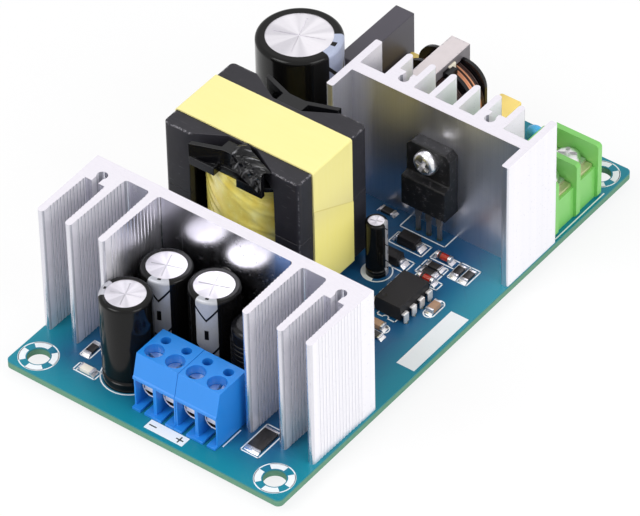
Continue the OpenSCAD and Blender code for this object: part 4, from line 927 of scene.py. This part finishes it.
def makeGlassDiodes(setup):
    glass, caps, bands, pads = bmesh.new(), bmesh.new(), bmesh.new(), bmesh.new()
    for low, high in looseBoxes("glass_diodes"):
        middle = (low + high) / 2
        half, r = (high.x - low.x) / 2, (high.z - low.z) / 2
        neck, end = r * setup["neck"], half - setup["glassInset"]
        tube = [(0, -end), (neck, -end), (r * setup["belly"], 0), (neck, end), (0, end)]
        addTurned(glass, tube, middle, steps=setup["steps"], lie="Y")
        proud, first, last = r * setup["band"], -half * setup["bandFrom"], -half * setup["bandTo"]
        band = [(neck, first), (proud, first), (proud, last), (neck, last)]
        addTurned(bands, band, middle, steps=setup["steps"], lie="Y")
        for sign in (-1, 1):
            cap = [(r * share, sign * (half - back)) for share, back in setup["cap"]]
            addTurned(caps, cap, middle, steps=setup["steps"], lie="Y")
            tip = middle.x + sign * half
            x0, x1 = sorted((tip - sign * setup["padUnder"], tip + sign * setup["pad"]))
            near = Vector((x0, middle.y - r, low.z))
            far = Vector((x1, middle.y + r, low.z + setup["padHeight"]))
            addFillet(pads, near, far, 0, sign)
    for bm in (glass, caps, bands):
        weld(bm)
        bmesh.ops.recalc_face_normals(bm, faces=bm.faces)
    makePiece("diodeGlass", glass, redGlass, ("glass_diodes",))
    makePiece("diodeCaps", caps, metal)
    makePiece("diodeBands", bands, blackInk)
    makePiece("glassDiodeSolder", pads, solderBright)


solderBright = tinned("solderBright", (0.90, 0.88, 0.88), 0.2)
redGlass = moulded("redGlass", (0.36, 0.020, 0.012), 0.08, lift=1.3, coat=1.0)
makeChips(chipShape, {
    "chip_resistors": moulded("chipBlack", (0.018, 0.016, 0.016), 0.35),
    "chip_capacitors": moulded("chipTan", (0.36, 0.22, 0.14), 0.5, lift=1.25),
    "indicator": moulded("indicatorLens", (0.84, 0.80, 0.70), 0.25, lift=1.1),
})
makeMouldedDiodes(diodeShape)
makeGlassDiodes(glassShape)
print("small parts built")


# pressure plates in the clamp cages, screwed down; heights are from the underside of the board
clampShape = {"half": 1.42, "low": 5.1, "high": 6.5, "front": 0.02, "thick": 0.4, "edge": 0.08}


def makeClampPlates(setup):
    bm = bmesh.new()
    for low, high in looseBoxes("dc_terminal_cages"):
        middle = (low.x + high.x) / 2
        near = (middle - setup["half"], low.y + setup["front"], setup["low"])
        addBox(bm, near, (middle + setup["half"], low.y + setup["thick"], setup["high"]), setup["edge"])
    makePiece("clampPlates", bm, cageMetal)


makeClampPlates(clampShape)
print("clamp plates set")


# shrink sleeves with a pale polarity stripe, broken by slots and arrows
sleevePrint = {   # lengths as shares of the sleeve's radius, places as shares of the pitch
    "black": (0.0045, 0.0043, 0.0042), "pitch": 1.85,
    "slotAt": 0.93, "slotWide": (0.07, 0.1), "slotLong": (0.3, 0.34),
    "arrowAt": 0.5, "arrowSlope": 1.25, "arrowWide": (0.05, 0.08),
    "stripeEdge": (-1.0, 0.6), "hammered": 0.75,   # degrees past the half width; shade of the hollows
    "stripes": {   # bearing of the stripe, half its width in degrees, colour
        "bulk_capacitor_sleeve": (13, 25, (0.50, 0.55, 0.72)),
        "output_capacitor_sleeve_1": (194, 27, (0.55, 0.55, 0.60)),
        "output_capacitor_sleeve_2": (-71, 25, (0.52, 0.53, 0.58)),
        "output_capacitor_sleeve_3": (-71, 25, (0.55, 0.56, 0.60)),
        "supply_capacitor_sleeve": (20, 24, (0.40, 0.40, 0.42)),
    },
}


def sleevePaint(node, setup):
    p = Paint(node + "_print")
    angle, half, pale = setup["stripes"][node]
    low, high = boxOf(node)
    centre = (low + high) / 2
    reach = (high.x - low.x) / 2
    slotWide, slotLong, arrowWide = (
        [reach * v for v in setup[k]] for k in ("slotWide", "slotLong", "arrowWide")
    )
    bearing = (p.y - centre.y).maths("ARCTAN2", p.x - centre.x) * (180 / math.pi)
    off = (bearing - angle + 540) % 360 - 180   # degrees from the stripe's middle
    across = abs(off) * (reach * math.pi / 180)
    pitch = reach * setup["pitch"]
    along = (high.z - p.z) % pitch
    slot = 1 - p.step(across, *slotWide)
    slot = slot * (1 - p.step(abs(along - pitch * setup["slotAt"]), *slotLong))
    arrow = 1 - p.step(abs(along + across * setup["arrowSlope"] - pitch * setup["arrowAt"]), *arrowWide)
    stripe = (1 - p.step(abs(off), *(half + past for past in setup["stripeEdge"]))) * (1 - (slot | arrow))
    hammer = p.noise(3.2, 3.0, 0.7)
    grey = p.mix(hammer, tuple(c * setup["hammered"] for c in pale), pale)
    waves = p.noise(0.25, 2.0)
    return p.surface({
        "Base Color": p.mix(stripe, setup["black"], grey),
        "Metallic": stripe * 0.25,
        "Roughness": p.blend(stripe, 0.12, 0.36) + waves * 0.06,
        "Normal": p.bump(waves + stripe * hammer * 0.1, 0.12, 0.12),
        "Specular IOR Level": 0.2,
    })


for node in sleevePrint["stripes"]:
    softened(node, sleevePaint(node, sleevePrint))
print("sleeves printed")


# taped winding with pulled creases
windingShape = {
    "rings": 60, "steps": 240, "inset": 0.3, "smooth": 60,
    "crease": 0.3, "sharpness": 5, "lean": 5.5, "aroundScale": 0.9, "slopeScale": 0.42, "layer": 3.0,
    "fine": 0.05, "fineAround": 2, "fineHeight": 0.1, "axisWidth": 1.0,
}


def makeWinding(setup):
    low, high = boxOf("transformer_winding")
    r = (high.x - low.x) / 2 - setup["inset"]
    tall = high.z - low.z
    centre = Vector(((low.x + high.x) / 2, (low.y + high.y) / 2, low.z))
    bm = bmesh.new()
    wall = [(r, tall * k / setup["rings"]) for k in range(setup["rings"] + 1)]
    addTurned(bm, [(0, 0), *wall, (0, tall)], centre, steps=setup["steps"])
    weld(bm)
    for vert in bm.verts:
        out = Vector((vert.co.x, vert.co.y, 0)) - Vector((centre.x, centre.y, 0)) * mm
        if out.length < setup["axisWidth"] * mm:
            continue
        turn = math.atan2(out.y, out.x)
        height = vert.co.z / mm
        slope = height + turn * setup["lean"]   # folds run down to the left
        fold = Vector((turn * setup["aroundScale"], slope * setup["slopeScale"], setup["layer"]))
        ridge = 1 - abs(noise.noise(fold))
        around = Vector((math.cos(turn), math.sin(turn), 0)) * setup["fineAround"]
        small = noise.noise(around + Vector((0, 0, height * setup["fineHeight"])))
        push = setup["crease"] * ridge ** setup["sharpness"] + setup["fine"] * small
        vert.co += out.normalized() * push * mm
    bmesh.ops.recalc_face_normals(bm, faces=bm.faces)
    film = windingFilm(windingShadeStops)
    makePiece("windingTape", bm, film, ("transformer_winding",), setup["smooth"])


makeWinding(windingShape)
print("winding taped")


# choke turns, each one a ring of enamelled wire
chokeShape = {
    "turns": 9, "wireSteps": 10, "steps": 72, "smooth": 60, "liner": 1.6,
    "bare": {"choke_winding_1": (), "choke_winding_2": (3, 4, 6)},   # turns drawn in bright copper instead of dark enamel
    "tab": {"low": (-0.42, 40.95, 20.95), "high": (0.12, 43.1, 22.9), "edge": 0.15},
}


def makeChokeTurns(setup):
    angles = [2 * math.pi * i / setup["wireSteps"] for i in range(setup["wireSteps"])]
    for node, bare in setup["bare"].items():
        low, high = boxOf(node)
        middle = (low + high) / 2
        r, long = (high.z - low.z) / 2, high.y - low.y
        wire = long / setup["turns"] / 2
        loop = [(r - wire + wire * math.cos(a), wire * math.sin(a)) for a in angles]
        dark, bright = bmesh.new(), bmesh.new()
        for k in range(setup["turns"]):
            spot = (middle.x, low.y + wire * (2 * k + 1), middle.z)
            addTurned(bright if k in bare else dark, loop, spot, steps=setup["steps"], lie="X")
        inner, outer = r - setup["liner"] * wire, r - wire
        liner = [(inner, 0), (outer, 0), (outer, long), (inner, long)]
        addTurned(dark, liner, (middle.x, high.y, middle.z), lie="X")
        makePiece(node + "_turns", dark, enamel, (node,), setup["smooth"])
        if bare:
            makePiece(node + "_bright", bright, copper, (), setup["smooth"])
        else:
            bright.free()
    tab = bmesh.new()
    addBox(tab, setup["tab"]["low"], setup["tab"]["high"], setup["tab"]["edge"])
    makePiece("chokeTab", tab, creamFibre)


creamFibre = moulded("creamFibre", (0.80, 0.74, 0.62), 0.5, lift=1.15)
enamel = moulded("enamelledWire", (0.022, 0.008, 0.006), 0.2, lift=2.2, gloss=0.4)
copper = tinned("copperWire", (0.72, 0.34, 0.20), 0.3)
makeChokeTurns(chokeShape)
print("choke wound")


# crumpled black film over the right bar of the wire guide
filmShape = {
    "along": 64, "across": 48, "thick": 0.08, "smooth": 22,
    "start": -10.2, "end": -1.3, "tip": (-1.8, -16.5), "slope": 0.354,   # tip: the bar's front corner
    "drape": [   # behind the bar's front, height
        (2.9, 34.2), (1.7, 34.5), (0.4, 34.55), (-0.3, 33.8), (-0.6, 32.6), (-1.2, 31.4),
    ],
    "spread": (1.1, 0.85),   # how far the drape reaches at the two ends
    "crumple": 0.75, "pushWay": (0, -0.62, 0.78), "ragged": {"depth": 0.9, "scale": 3, "row": 1.7},
    "folds": [   # per length, per width, phase, share, whether its crease gets a painted glint
        (3.3, 1.5, 0.1, 0.5, True), (2.2, -2.7, 0.35, 0.3, False), (5.6, 4.1, 0.6, 0.2, False),
    ],
    "creaseFrom": 0.86, "glintLeast": 0.25,
    "waver": (0.12, 2.5, 8.0), "glintVaries": (2.2, 3, 2.0),   # amount, and the scale and layer of its noise
    "knot": {"height": 0.9, "at": 0.12, "narrow": 6, "fade": 2},
    # white: the colour of the painted glints along the creases
    "black": (0.003, 0.003, 0.004), "white": (0.45, 0.45, 0.48),
}


def uneven(u, v, amount, scale, layer):
    return amount * noise.noise(Vector((u * scale, v * scale, layer)))


def makeFilm(setup):
    bm = bmesh.new()
    bmesh.ops.create_grid(bm, x_segments=setup["along"], y_segments=setup["across"], size=1)
    white = bm.verts.layers.float.new("creaseWhite")
    path = [Vector(point) for point in setup["drape"]]
    knot, ragged = setup["knot"], setup["ragged"]
    nearSpread, farSpread = setup["spread"]
    pushWay = Vector(setup["pushWay"])
    for vert in bm.verts:
        u, v = (vert.co.x + 1) / 2, (vert.co.y + 1) / 2
        k = min(int(v * (len(path) - 1)), len(path) - 2)
        behind, height = path[k].lerp(path[k + 1], v * (len(path) - 1) - k)
        x = setup["start"] + (setup["end"] - setup["start"]) * u
        x += ragged["depth"] * noise.noise(Vector((v * ragged["scale"], ragged["row"], 0)))
        frontY = setup["tip"][1] + (setup["tip"][0] - x) * setup["slope"]
        waver = uneven(u, v, *setup["waver"])
        push, crease = 0.0, 0.0
        for length, width, phase, share, glints in setup["folds"]:
            ramp = abs((u * length + v * width + phase + waver) % 1 * 2 - 1)
            push += share * ramp
            if glints:
                crease = max(crease, (ramp - setup["creaseFrom"]) / (1 - setup["creaseFrom"]))
        patchy = setup["glintLeast"] + uneven(u, v, *setup["glintVaries"])
        vert[white] = crease * max(0, min(1, patchy))
        peak = max(0, 1 - abs(u - knot["at"]) * knot["narrow"])
        height += knot["height"] * peak * max(0, 1 - v * knot["fade"])
        spread = nearSpread + (farSpread - nearSpread) * u
        vert.co = (Vector((x, frontY + behind * spread, height)) + pushWay * push * setup["crumple"]) * mm
    bmesh.ops.recalc_face_normals(bm, faces=bm.faces)
    bmesh.ops.solidify(bm, geom=bm.faces, thickness=setup["thick"] * mm)
    makePiece("guideFilm", bm, filmPaint(setup), (), setup["smooth"])


def filmPaint(setup):
    p = Paint("blackFilm")
    crease = p.add("ShaderNodeAttribute", {"attribute_name": "creaseWhite"}).out("Fac")
    fine = p.noise(3.0, 2.0)
    return p.surface({
        # painted highlight: pale glints along the fold creases of the black film
        "Base Color": p.mix(crease * 0.7, setup["black"], setup["white"]),
        "Roughness": 0.12 + fine * 0.1,
        "Normal": p.bump(fine, 0.1, 0.03),
        "Specular IOR Level": 0.25,
    })


makeFilm(filmShape)
print("film draped")


# tape band pulled round the core, with its four long corners rounded
bandShape = {"corner": 0.55, "segments": 5, "shortest": 2.0, "near": 0.2, "smooth": 50}


def makeTape(setup):
    bm = mergedCopy("transformer_tape")
    low, high = boxOf("transformer_tape")
    corners = []
    for edge in sharpEdges(bm):
        first, last = (v.co / mm for v in edge.verts)
        atSide = min(abs(first.x - low.x), abs(first.x - high.x)) < setup["near"]
        atLevel = min(abs(first.z - low.z), abs(first.z - high.z)) < setup["near"]
        if atSide and atLevel and abs(first.y - last.y) > setup["shortest"]:
            corners.append(edge)
    roundEdges(bm, corners, setup["corner"], setup["segments"])
    film = tapePaint(tapeFinish)
    makePiece("tapeBand", bm, film, ("transformer_tape",), setup["smooth"])


makeTape(bandShape)
print("tape band wrapped")
